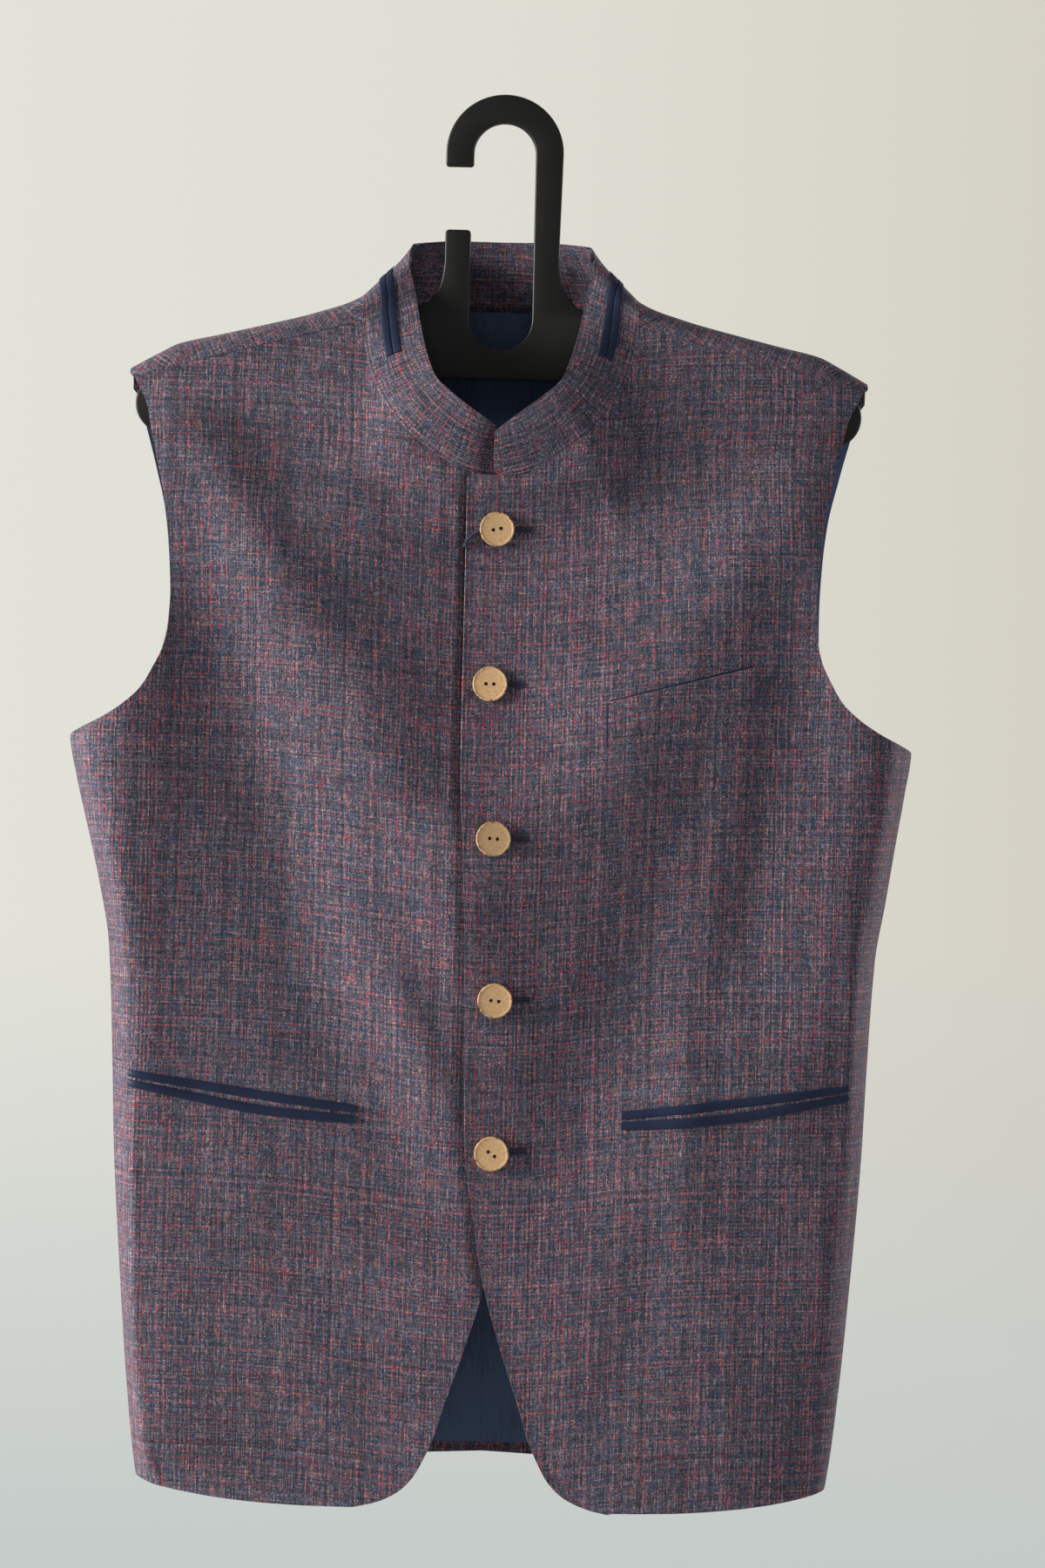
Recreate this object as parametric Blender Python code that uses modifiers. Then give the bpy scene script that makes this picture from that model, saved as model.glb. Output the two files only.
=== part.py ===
"""Sleeveless band-collar jacket on its flat hanger, one named solid for each piece.

Metres, +Z up. The jacket faces -Y and the wearer's left is +X.
The origin is the inside top of the hook, where a rod or wall hook carries it.
"""

import math
from collections import namedtuple

import bmesh
import bpy
import numpy as np
from mathutils import Matrix, Vector
from mathutils.bvhtree import BVHTree

OBJECT_NAME = "nehru_jacket_on_hanger"

# Walls and gaps
FRONT_WALL = 0.0020
BACK_WALL = 0.0015
LINING_WALL = 0.0010
COLLAR_WALL = 0.0030
WELT_WALL = 0.0016
JET_WALL = 0.0014
MOUTH_WALL = 0.0010
SEAM_GAP = 0.0010
COLLAR_GAP = 0.0009
LAID_GAP = 0.0013
JET_GAP = 0.0005
PIPING_GAP = 0.0004
SLOPE_STEP = 0.0040
STEEPEST_LIFT = 0.4

# Body section: a flattened ring, drawn as a rounded ellipse of this power
SECTION_POWER = 3.0
SHOULDER_ROUND = 0.0115
SHOULDER_FALL = 0.160
FRONT_AT_RIDGE = 0.42
BACK_AT_RIDGE = 0.46

# The jacket hangs this far to the wearer's left from the waist down
HANG_SHIFT = 0.0035
HANG_START_Z = -0.374
HANG_LENGTH = 0.110

# The under front drops behind the over front near the closing edges
OVERLAP_DROP = 0.0027
OVERLAP_START_X = -0.046
OVERLAP_BLEND = 0.022

LINING_INSET = 0.0036
LINING_BEHIND = 0.0040
LINING_HEM_Z = -0.8020
LINING_TOP_DROP = 0.0035
HEM_BOW = 2.5
HEM_BOW_ROWS = 6.0

# Above the underarm a row's points even out over this many rows, by this share
EVEN_OUT_ROWS = 5.0
EVEN_OUT_SHARE = 0.8
# The lining's top edge drops over these many rows in the middle and at the armhole
LINING_DROP_ROWS_MIDDLE = 9.0
LINING_DROP_ROWS_ARMHOLE = 3.0

Level = namedtuple("Level", "z half_width front_depth back_depth")
BODY_LEVELS = (
    Level(-0.100, 0.2360, 0.034, 0.032),
    Level(-0.160, 0.2405, 0.043, 0.037),
    Level(-0.220, 0.2450, 0.051, 0.043),
    Level(-0.300, 0.2500, 0.058, 0.048),
    Level(-0.374, 0.2530, 0.061, 0.050),
    Level(-0.400, 0.2490, 0.061, 0.050),
    Level(-0.430, 0.2430, 0.060, 0.049),
    Level(-0.464, 0.2365, 0.058, 0.048),
    Level(-0.500, 0.2305, 0.057, 0.047),
    Level(-0.560, 0.2273, 0.054, 0.045),
    Level(-0.620, 0.2250, 0.051, 0.044),
    Level(-0.700, 0.2195, 0.048, 0.043),
    Level(-0.760, 0.2145, 0.046, 0.042),
    Level(-0.815, 0.2080, 0.044, 0.041),
    Level(-0.832, 0.2035, 0.043, 0.040),
)

# Top line of the shoulder; inside the neck it only steers the depth of the cloth
RidgePoint = namedtuple("RidgePoint", "x z")
SHOULDER_RIDGE = (
    RidgePoint(0.000, 0.0200),
    RidgePoint(0.030, 0.0000),
    RidgePoint(0.060, -0.0600),
    RidgePoint(0.082, -0.1050),
    RidgePoint(0.109, -0.1160),
    RidgePoint(0.143, -0.1250),
    RidgePoint(0.170, -0.1315),
    RidgePoint(0.193, -0.1370),
    RidgePoint(0.205, -0.1430),
    RidgePoint(0.222, -0.1525),
)

ArmholePoint = namedtuple("ArmholePoint", "z front_x back_x")
ARMHOLE = (
    ArmholePoint(-0.3745, 0.2530, 0.2530),
    ArmholePoint(-0.3715, 0.2460, 0.2475),
    ArmholePoint(-0.3650, 0.2315, 0.2350),
    ArmholePoint(-0.3560, 0.2175, 0.2225),
    ArmholePoint(-0.3460, 0.2070, 0.2135),
    ArmholePoint(-0.3340, 0.2000, 0.2070),
    ArmholePoint(-0.3220, 0.1945, 0.2020),
    ArmholePoint(-0.3080, 0.1918, 0.1995),
    ArmholePoint(-0.2900, 0.1910, 0.1993),
    ArmholePoint(-0.2600, 0.1930, 0.2003),
    ArmholePoint(-0.2360, 0.1960, 0.2025),
    ArmholePoint(-0.2100, 0.2020, 0.2080),
    ArmholePoint(-0.1870, 0.2075, 0.2135),
    ArmholePoint(-0.1745, 0.2110, 0.2165),
    ArmholePoint(-0.1660, 0.2155, 0.2190),
    ArmholePoint(-0.1525, 0.2220, 0.2220),
)

# Rows of a front, from the hem up to the shoulder seam
FrontRow = namedtuple("FrontRow", "row inner_x inner_z outer_z")
FRONT_ROWS = (
    FrontRow(0, 0.0750, -0.8300, -0.8175),
    FrontRow(1, 0.0620, -0.8270, -0.8110),
    FrontRow(2, 0.0500, -0.8215, -0.8030),
    FrontRow(3, 0.0405, -0.8125, -0.7940),
    FrontRow(4, 0.0340, -0.8010, -0.7830),
    FrontRow(5, 0.0280, -0.7870, -0.7700),
    FrontRow(6, 0.0225, -0.7690, -0.7560),
    FrontRow(8, 0.0105, -0.7330, -0.7230),
    FrontRow(10, -0.0003, -0.6950, -0.6880),
    FrontRow(12, -0.0078, -0.6540, -0.6500),
    FrontRow(14, -0.0132, -0.6110, -0.6100),
    FrontRow(25, -0.0170, -0.3700, -0.3745),
    FrontRow(26, -0.0170, -0.3450, -0.3690),
    FrontRow(27, -0.0170, -0.3210, -0.3590),
    FrontRow(28, -0.0170, -0.2970, -0.3460),
    FrontRow(29, -0.0170, -0.2730, -0.3300),
    FrontRow(30, -0.0170, -0.2465, -0.3100),
    FrontRow(31, -0.0170, -0.2175, -0.2860),
    FrontRow(32, 0.0135, -0.2145, -0.2600),
    FrontRow(33, 0.0395, -0.2005, -0.2340),
    FrontRow(34, 0.0600, -0.1820, -0.2100),
    FrontRow(35, 0.0735, -0.1600, -0.1870),
    FrontRow(36, 0.0800, -0.1390, -0.1710),
    FrontRow(37, 0.0822, -0.1232, -0.1589),
)
FRONT_LAST_ROW = 37
UNDERARM_ROW_FRONT = 25
FRONT_COLUMNS = 17

# Rows of half the back, from the hem up to just behind the shoulder
BackRow = namedtuple("BackRow", "row inner_x inner_z outer_z")
BACK_ROWS = (
    BackRow(0, 0.0000, -0.8080, -0.8175),
    BackRow(1, 0.0000, -0.7900, -0.7980),
    BackRow(17, 0.0000, -0.3720, -0.3745),
    BackRow(18, 0.0000, -0.3450, -0.3690),
    BackRow(19, 0.0000, -0.3190, -0.3590),
    BackRow(20, 0.0000, -0.2920, -0.3460),
    BackRow(21, 0.0000, -0.2650, -0.3300),
    BackRow(22, 0.0000, -0.2380, -0.3100),
    BackRow(23, 0.0000, -0.2100, -0.2860),
    BackRow(24, 0.0000, -0.1800, -0.2560),
    BackRow(25, 0.0000, -0.1440, -0.2240),
    BackRow(26, 0.0000, -0.1075, -0.1930),
    BackRow(27, 0.0320, -0.1080, -0.1780),
    BackRow(28, 0.0620, -0.1085, -0.1690),
)
BACK_LAST_ROW = 28
UNDERARM_ROW_BACK = 17
BACK_COLUMNS = 10

# Over the shoulder: turn about the ridge in degrees, positive behind it
TurnRow = namedtuple("TurnRow", "row inner_x inner_turn outer_turn")
TURN_ROWS = (
    TurnRow(29, 0.0755, 50.0, 90.0),
    TurnRow(30, 0.0800, 26.0, 50.0),
    TurnRow(31, 0.0825, 0.0, 0.0),
    TurnRow(32, 0.0825, -45.0, -30.0),
    TurnRow(33, 0.0823, -78.0, -50.0),
)
TURN_LAST_ROW = 34
SEAM_INNER = Vector((0.0822, -0.1225))
SEAM_OUTER = Vector((0.2200, -0.1585))

# Largest folds, as soft ridges (positive) and troughs (negative) along a bowed line
Fold = namedtuple("Fold", "side x0 z0 x1 z1 bow width height")
FRONT_FOLDS = (
    Fold("right", -0.186, -0.180, -0.036, -0.620, 0.012, 0.030, 0.0065),
    Fold("right", -0.192, -0.265, -0.105, -0.580, 0.006, 0.028, -0.0045),
    Fold("left", 0.172, -0.180, 0.020, -0.570, -0.020, 0.030, 0.0052),
    Fold("left", 0.112, -0.370, 0.060, -0.580, 0.000, 0.026, -0.0040),
    Fold("left", 0.120, -0.360, 0.130, -0.580, 0.000, 0.022, 0.0030),
)
BACK_FOLDS = (
    Fold("left", 0.120, -0.190, 0.085, -0.690, 0.010, 0.034, 0.0040),
    Fold("right", -0.125, -0.200, -0.080, -0.650, -0.008, 0.034, 0.0040),
)
FOLD_EDGE_MARGIN = 0.035
FOLD_START_SHARE = 0.25
FOLD_END_SHARE = 0.35
FOLD_TOP_MARGIN = 0.060
PLACKET_HALF = 0.022

# The collar's course runs along a front's neckline by its rows, then backwards through the
# back's rows to the centre. The upper edge is given by its place.
CollarStop = namedtuple("CollarStop", "course up_x up_y up_z")
COLLAR_STOPS = (
    CollarStop(31.64, 0.0000, -0.0500, -0.1905),
    CollarStop(32.40, 0.0140, -0.0490, -0.1780),
    CollarStop(33.28, 0.0270, -0.0455, -0.1675),
    CollarStop(34.22, 0.0375, -0.0395, -0.1570),
    CollarStop(35.28, 0.0440, -0.0295, -0.1400),
    CollarStop(36.50, 0.0485, -0.0180, -0.1200),
    CollarStop(37.00, 0.0510, -0.0110, -0.1060),
    CollarStop(40.00, 0.0560, 0.0010, -0.0830),
    CollarStop(42.00, 0.0545, 0.0190, -0.0715),
    CollarStop(43.00, 0.0400, 0.0290, -0.0685),
    CollarStop(44.00, 0.0200, 0.0335, -0.0675),
    CollarStop(45.00, 0.0000, 0.0345, -0.0675),
)
COLLAR_START = COLLAR_STOPS[0].course
COLLAR_CENTRE_BACK = COLLAR_STOPS[-1].course
COURSE_STEP = 0.05

# Rows that the solids' grids use, closer where the neckline curves
NECK_FRONT_ROWS = [COLLAR_START] + [32.0 + 0.5 * step for step in range(11)]
NECK_BACK_ROWS = [26.0, 26.5, 27.0, 27.5, 28.0, 28.5, 29.0, 30.0, 31.0, 32.0, 33.0, 34.0]
FRONT_GRID_ROWS = [float(row) for row in range(15)] + [14.0 + 1.375 * step for step in range(1, 9)]
FRONT_GRID_ROWS += [float(row) for row in range(26, 32)] + NECK_FRONT_ROWS
BACK_GRID_ROWS = [float(row) for row in range(26)] + NECK_BACK_ROWS
LINING_GRID_ROWS = [row for row in BACK_GRID_ROWS if row <= BACK_LAST_ROW]
COLLAR_GRID = list(NECK_FRONT_ROWS)
COLLAR_GRID += [FRONT_LAST_ROW + TURN_LAST_ROW - row for row in reversed(NECK_BACK_ROWS[:-1])]
COLLAR_RISE_STEPS = 3
COLLAR_BULGE = 0.0012
COLLAR_OVER_EDGE = -0.0010
COLLAR_UNDER_EDGE = -0.0016
COLLAR_OVER_LIFT = 0.0012

# Double piping along each side of the collar: start, end, rise across the band
PIPING_FRONT = 35.50
PIPING_BACK = 40.80
PIPING_RISES = ((0.320, 0.425), (0.450, 0.555))
PIPING_WALL = 0.0010
PIPING_STEPS = 8

# Chest welt on the wearer's left
WELT_INNER = Vector((0.0680, -0.3630))
WELT_OUTER = Vector((0.1555, -0.3395))
WELT_HEIGHT = 0.0255
WELT_STEPS = (14, 3)

# Lower pockets: the jets' outer edges by distance from the centre
PocketPoint = namedtuple("PocketPoint", "x top_z upper_low_z lower_top_z bottom_z")
POCKET = (
    PocketPoint(0.0790, -0.5905, -0.5956, -0.5966, -0.6020),
    PocketPoint(0.1060, -0.5870, -0.5920, -0.5950, -0.6005),
    PocketPoint(0.1390, -0.5825, -0.5874, -0.5920, -0.5975),
    PocketPoint(0.1720, -0.5780, -0.5829, -0.5860, -0.5915),
    PocketPoint(0.2130, -0.5725, -0.5770, -0.5781, -0.5828),
)
POCKET_STEPS = 15
PocketStrip = namedtuple("PocketStrip", "name low high wall look end_margin side_margin")
MOUTH_END_MARGIN = 0.0144
MOUTH_SIDE_MARGIN = 0.0004

# Buttons
ButtonPlace = namedtuple("ButtonPlace", "x z hole_turn")
BUTTONS = (
    ButtonPlace(0.0010, -0.2480, 12.0),
    ButtonPlace(-0.0010, -0.3400, 0.0),
    ButtonPlace(0.0010, -0.4310, -4.0),
    ButtonPlace(0.0025, -0.5260, -6.0),
    ButtonPlace(0.0025, -0.6170, -35.0),
)
BUTTON_STAND = 0.0007
BUTTON_SEGMENTS = 20
BUTTON_HOLE_SEGMENTS = 10
BUTTON_HOLE_RADIUS = 0.0011
BUTTON_HOLE_SPACING = 0.0046
BUTTON_HOLE_DEPTH = 0.0080
ProfilePoint = namedtuple("ProfilePoint", "radius height")
BUTTON_PROFILE = (
    ProfilePoint(0.0000, 0.0023),
    ProfilePoint(0.0068, 0.0024),
    ProfilePoint(0.0083, 0.0033),
    ProfilePoint(0.0095, 0.0032),
    ProfilePoint(0.0102, 0.0020),
    ProfilePoint(0.0097, 0.0009),
    ProfilePoint(0.0080, 0.0000),
    ProfilePoint(0.0000, 0.0000),
)

# Hanger plate
PLATE_THICKNESS = 0.0080
PLATE_EDGE_ROUND = 0.0010
HOOK_INNER_RADIUS = 0.0185
HOOK_OUTER_RADIUS = 0.0355
HOOK_TIP_DROP = 0.0080
HOOK_TIP_ROUND = 0.0020
HOOK_CENTRE = Vector((0.0005, -0.0185))
HOOK_STEPS = 14
STUB_TOP_Z = -0.0650
STUB_ROUND = 0.0025
SLOT_HALF_WIDTH = 0.0190
SLOT_BOTTOM_Z = -0.1370
SHANK_OUTER_X = 0.0345
ARM_TOP_DROP = 0.0039
ARM_END_X = 0.2190
ARM_END_RADIUS = 0.0180
PLATE_BOTTOM_Z = -0.1550
SLOT_TOP_Z = -0.0500
SLOT_STEPS = 12
CORNER_STEPS = 3
ARM_END_STEPS = 6
ARM_TOP_STEPS = 7
ARM_TOP_START_X = 0.0850
ARM_TOP_START_DROP = 0.0008
ARM_TOP_END_SHARE = 0.8
ARM_END_CENTRE_Z = -0.1735
ArmPoint = namedtuple("ArmPoint", "x z")
SHANK_FLARE = (
    ArmPoint(0.0345, -0.0850),
    ArmPoint(0.0358, -0.0975),
    ArmPoint(0.0405, -0.1060),
    ArmPoint(0.0480, -0.1125),
    ArmPoint(0.0600, -0.1155),
    ArmPoint(0.0720, -0.1145),
)
ARM_UNDERSIDE = (
    ArmPoint(0.1200, -0.1755),
    ArmPoint(0.0390, PLATE_BOTTOM_Z),
)

Paint = namedtuple("Paint", "name colour roughness")
SUITING = Paint("slub_suiting", (0.098, 0.080, 0.107, 1.0), 0.9)
SATIN = Paint("navy_satin", (0.012, 0.018, 0.040, 1.0), 0.4)
SHELL = Paint("button_shell", (0.58, 0.39, 0.19, 1.0), 0.4)
PLASTIC = Paint("hanger_plastic", (0.024, 0.025, 0.024, 1.0), 0.5)


def value_at(table, key, column, at):
    """Column of a table at places on its key column, smooth and with no overshoot."""
    rows = sorted(table, key=lambda row: getattr(row, key))
    keys = np.array([getattr(row, key) for row in rows], dtype=float)
    values = np.array([getattr(row, column) for row in rows], dtype=float)
    at = np.clip(np.asarray(at, dtype=float), keys[0], keys[-1])
    steps = np.diff(values) / np.diff(keys)
    before, after = steps[:-1], steps[1:]
    agree = before * after > 0
    total = np.where(agree, before + after, 1.0)
    middle = np.where(agree, 2.0 * before * after / total, 0.0)
    slopes = np.concatenate(([steps[0]], middle, [steps[-1]]))
    i = np.clip(np.searchsorted(keys, at, side="right") - 1, 0, len(keys) - 2)
    span = keys[i + 1] - keys[i]
    t = (at - keys[i]) / span
    start = (1 + 2 * t) * (1 - t) ** 2 * values[i] + t * (1 - t) ** 2 * span * slopes[i]
    end = t * t * (3 - 2 * t) * values[i + 1] - t * t * (1 - t) * span * slopes[i + 1]
    return start + end


def ease(t):
    """Soft step from 0 to 1 as t goes from 0 to 1."""
    t = np.clip(t, 0.0, 1.0)
    return t * t * (3.0 - 2.0 * t)


def hang(z):
    """How far the hanging jacket has moved to the wearer's left at a height."""
    return HANG_SHIFT * ease((HANG_START_Z - z) / HANG_LENGTH)


def ridge_z(x):
    return value_at(SHOULDER_RIDGE, "x", "z", np.abs(x))


def section_share(x, half_width):
    """Share of the full depth left at a distance from the centre."""
    across = np.clip(np.abs(x) / half_width, 0.0, 1.0)
    return (1.0 - across**SECTION_POWER) ** (1.0 / SECTION_POWER)


def depth(x, z, face, inset=0.0):
    """Depth of the body's cloth from the middle plane, on one face ("front" or "back")."""
    half_width = value_at(BODY_LEVELS, "z", "half_width", z) - inset
    full = value_at(BODY_LEVELS, "z", face + "_depth", z)
    below = ridge_z(x) - z
    at_ridge = FRONT_AT_RIDGE if face == "front" else BACK_AT_RIDGE
    fall = at_ridge + (1.0 - at_ridge) * ease(below / SHOULDER_FALL)
    turn = 1.0 - np.clip(below / SHOULDER_ROUND, 0.0, 1.0)
    return full * section_share(x, half_width) * fall * np.sqrt(1.0 - turn * turn)


def folds(x, z, table, half_width):
    """Height of the listed folds, faded out at the side, shoulder and closing edge."""
    height = np.zeros_like(x)
    for fold in table:
        along = Vector((fold.x1 - fold.x0, fold.z1 - fold.z0))
        length = along.length
        s = ((x - fold.x0) * along.x + (z - fold.z0) * along.y) / length**2
        off = ((x - fold.x0) * -along.y + (z - fold.z0) * along.x) / length
        inside = np.clip(s, 0.0, 1.0)
        off = off - fold.bow * 4.0 * inside * (1.0 - inside)
        fade = ease(s / FOLD_START_SHARE) * ease((1.0 - s) / FOLD_END_SHARE)
        height = height + fold.height * np.exp(-((off / fold.width) ** 2)) * fade
    side_fade = ease((half_width - np.abs(x)) / FOLD_EDGE_MARGIN)
    top_fade = ease((ridge_z(x) - z) / FOLD_TOP_MARGIN)
    return height * side_fade * top_fade


def side_folds(table, side):
    return [fold for fold in table if fold.side == side]


def front_y(x, z, side, lift=0.0):
    """Depth coordinate of a front's outer face, before the hanging shift."""
    half_width = value_at(BODY_LEVELS, "z", "half_width", z)
    out = depth(x, z, "front")
    placket = ease((np.abs(x) - PLACKET_HALF) / FOLD_EDGE_MARGIN)
    out = out + folds(x, z, side_folds(FRONT_FOLDS, side), half_width) * placket
    if side == "right":
        out = out - OVERLAP_DROP * ease((x - OVERLAP_START_X) / OVERLAP_BLEND)
    return -(out + SEAM_GAP / 2 + lift)


def spread(u, closing):
    """Share of a row's width at u; closing 1 crowds the points towards the side seam."""
    return (1.0 - closing) * u + closing * np.sin(u * math.pi / 2)


def front_point(u, row, side):
    """Points of a front's outer face; u runs from the closing edge to the side."""
    inner_x = value_at(FRONT_ROWS, "row", "inner_x", row)
    inner_z = value_at(FRONT_ROWS, "row", "inner_z", row)
    outer_z = value_at(FRONT_ROWS, "row", "outer_z", row)
    side_x = value_at(BODY_LEVELS, "z", "half_width", outer_z)
    armhole_x = value_at(ARMHOLE, "z", "front_x", outer_z)
    outer_x = np.where(row <= UNDERARM_ROW_FRONT, side_x, armhole_x)
    closing = 1.0 - EVEN_OUT_SHARE * ease((row - UNDERARM_ROW_FRONT) / EVEN_OUT_ROWS)
    t = spread(u, closing)
    x = inner_x + (outer_x - inner_x) * t
    bow = 1.0 + (HEM_BOW - 1.0) * ease(1.0 - row / HEM_BOW_ROWS)
    z = inner_z + (outer_z - inner_z) * t**bow
    if side == "right":
        x = -x
    y = front_y(x, z, side)
    return np.stack((x + hang(z), y, z), axis=1)


def turned_point(u, row):
    """Points of the back where it runs over the shoulder to the seam in front."""
    last_x = SEAM_INNER.x + (SEAM_OUTER.x - SEAM_INNER.x) * u
    last_z = SEAM_INNER.y + (SEAM_OUTER.y - SEAM_INNER.y) * u
    last_y = -depth(last_x, last_z, "front") - SEAM_GAP / 2
    capped = np.minimum(row, TURN_ROWS[-1].row)
    inner_x = value_at(TURN_ROWS, "row", "inner_x", capped)
    inner_turn = value_at(TURN_ROWS, "row", "inner_turn", capped)
    outer_turn = value_at(TURN_ROWS, "row", "outer_turn", capped)
    x = inner_x + (ARMHOLE[-1].back_x - inner_x) * u
    turn = np.radians(inner_turn + (outer_turn - inner_turn) * u)
    top = ridge_z(np.maximum(x, SEAM_INNER.x))
    z = top - SHOULDER_ROUND * (1.0 - np.cos(turn))
    behind = depth(x, top - SHOULDER_ROUND, "back")
    ahead = depth(x, top - SHOULDER_ROUND, "front") + SEAM_GAP / 2
    y = np.sin(turn) * np.where(turn > 0, behind, ahead)
    t = np.clip(row - TURN_ROWS[-1].row, 0.0, 1.0)
    return np.stack((x + (last_x - x) * t, y + (last_y - y) * t, z + (last_z - z) * t), axis=1)


def back_point(u, row, side, lining=False):
    """Points of half the back, or of its lining; u runs from the centre to the side."""
    inset = LINING_INSET if lining else 0.0
    flat_row = np.minimum(row, BACK_LAST_ROW)
    inner_x = value_at(BACK_ROWS, "row", "inner_x", flat_row)
    inner_z = value_at(BACK_ROWS, "row", "inner_z", flat_row)
    outer_z = value_at(BACK_ROWS, "row", "outer_z", flat_row)
    side_x = value_at(BODY_LEVELS, "z", "half_width", outer_z)
    armhole_x = value_at(ARMHOLE, "z", "back_x", outer_z)
    outer_x = np.where(row <= UNDERARM_ROW_BACK, side_x, armhole_x) - inset
    closing = 1.0 - EVEN_OUT_SHARE * ease((flat_row - UNDERARM_ROW_BACK) / EVEN_OUT_ROWS)
    t = spread(u, closing)
    if lining:
        inner_x = inner_x + SEAM_GAP / 2
        outer_z = np.maximum(outer_z, LINING_HEM_Z)
        inner_z = np.maximum(inner_z, LINING_HEM_Z)
        inner_z = inner_z - LINING_TOP_DROP * ease((row - UNDERARM_ROW_BACK) / LINING_DROP_ROWS_MIDDLE)
        outer_z = outer_z - LINING_TOP_DROP * ease((row - BACK_LAST_ROW) / LINING_DROP_ROWS_ARMHOLE + 1.0)
    x = inner_x + (outer_x - inner_x) * t
    z = inner_z + (outer_z - inner_z) * t
    mirrored = -x if side == "right" else x
    half_width = value_at(BODY_LEVELS, "z", "half_width", z) - inset
    y = depth(mirrored, z, "back", inset)
    y = y + folds(mirrored, z, side_folds(BACK_FOLDS, side), half_width)
    y = y + SEAM_GAP / 2
    if lining:
        y = y - LINING_BEHIND * ease((half_width - x) / LINING_INSET)
        y = np.maximum(y, SEAM_GAP)
    points = np.stack((x, y, z), axis=1)
    if not lining:
        turned = turned_point(t, np.maximum(row, BACK_LAST_ROW + 1))
        over = np.clip(row - BACK_LAST_ROW, 0.0, 1.0)[:, None]
        points = points + (turned - points) * over
    if side == "right":
        points[:, 0] = -points[:, 0]
    points[:, 0] += hang(points[:, 2])
    return points


def collar_edges(course):
    """Lower and upper edge points of the collar's wearer-left half."""
    inner = np.zeros_like(course)
    ahead = front_point(inner, np.minimum(course, FRONT_LAST_ROW), "left")
    back_row = FRONT_LAST_ROW + TURN_LAST_ROW - np.maximum(course, FRONT_LAST_ROW)
    behind = back_point(inner, back_row, "left")
    low = np.where((course <= FRONT_LAST_ROW)[:, None], ahead, behind)
    up = [value_at(COLLAR_STOPS, "course", name, course) for name in ("up_x", "up_y", "up_z")]
    return low, np.stack(up, axis=1)


def collar_point(course, rise, side, lift=0.0):
    """Points of the collar's outer face; rise runs from the lower to the upper edge."""
    low, up = collar_edges(course)
    across = up - low
    low = low + across / np.linalg.norm(across, axis=1, keepdims=True) * COLLAR_GAP
    ahead, _ = collar_edges(np.minimum(course + COURSE_STEP, COLLAR_CENTRE_BACK))
    behind, _ = collar_edges(np.maximum(course - COURSE_STEP, COLLAR_START))
    outward = np.cross(ahead - behind, across)
    outward = outward / np.linalg.norm(outward, axis=1, keepdims=True)
    bulge = COLLAR_BULGE * np.sin(rise * math.pi)
    points = low + (up - low) * rise[:, None] + outward * (bulge + lift)[:, None]
    if side == "right":
        points[:, 0] = -points[:, 0]
    return points


def grid_sheet(name, columns, rows, place, flip=False):
    """Sheet made from a grid primitive; place(u, v) gives its points."""
    bpy.ops.mesh.primitive_grid_add(x_subdivisions=columns, y_subdivisions=rows, size=2.0)
    sheet = bpy.context.active_object
    sheet.name = name
    mesh = sheet.data
    mesh.name = name
    flat = np.empty(len(mesh.vertices) * 3)
    mesh.vertices.foreach_get("co", flat)
    flat = flat.reshape(-1, 3)
    u = (flat[:, 0] + 1.0) / 2.0
    v = (flat[:, 1] + 1.0) / 2.0
    mesh.vertices.foreach_set("co", np.ascontiguousarray(place(u, v)).ravel())
    if flip:
        mesh.flip_normals()
    mesh.update()
    return sheet


def row_at(rows, v):
    """Row of a grid whose points are numbered evenly by v."""
    return np.interp(v * (len(rows) - 1), range(len(rows)), rows)


def thicken(sheet, wall, offset=-1.0):
    """Gives a sheet its wall; offset -1 keeps the sheet as the outer face."""
    solidify = sheet.modifiers.new("wall", "SOLIDIFY")
    solidify.thickness = wall
    solidify.offset = offset
    solidify.use_even_offset = True
    solidify.use_rim = True
    return sheet


def join_halves(name, halves):
    """One sheet from two halves that share their centre points."""
    merged = bmesh.new()
    for half in halves:
        merged.from_mesh(half.data)
    bmesh.ops.remove_doubles(merged, verts=merged.verts, dist=0.00005)
    mesh = bpy.data.meshes.new(name)
    merged.to_mesh(mesh)
    merged.free()
    for half in halves:
        bpy.data.objects.remove(half, do_unlink=True)
    sheet = bpy.data.objects.new(name, mesh)
    bpy.context.scene.collection.objects.link(sheet)
    return sheet


def paint(thing, look):
    """Gives a piece its own material of one look."""
    material = bpy.data.materials.new(look.name + "_" + thing.name)
    material.use_nodes = True
    shader = material.node_tree.nodes["Principled BSDF"]
    shader.inputs["Base Color"].default_value = look.colour
    shader.inputs["Roughness"].default_value = look.roughness
    material.diffuse_color = look.colour
    thing.data.materials.clear()
    thing.data.materials.append(material)
    return thing


def make_fronts():
    """The two fronts, cut as a mirrored pair, and a search tree of each one's facets."""
    made = []
    skins = {}
    for side in ("left", "right"):
        sheet = grid_sheet(
            "front_" + side,
            FRONT_COLUMNS,
            len(FRONT_GRID_ROWS) - 1,
            lambda u, v, side=side: front_point(u, row_at(FRONT_GRID_ROWS, v), side),
            flip=side == "right",
        )
        corners = [vertex.co.copy() for vertex in sheet.data.vertices]
        skins[side] = BVHTree.FromPolygons(corners, [face.vertices for face in sheet.data.polygons])
        made.append(paint(thicken(sheet, FRONT_WALL), SUITING))
    return made, skins


def make_back():
    """The back in one piece, over the shoulders to the seams in front."""
    halves = []
    for side in ("left", "right"):
        halves.append(
            grid_sheet(
                "back_half_" + side,
                BACK_COLUMNS,
                len(BACK_GRID_ROWS) - 1,
                lambda u, v, side=side: back_point(u, row_at(BACK_GRID_ROWS, v), side),
                flip=side == "left",
            )
        )
    return paint(thicken(join_halves("back", halves), BACK_WALL), SUITING)


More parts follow.
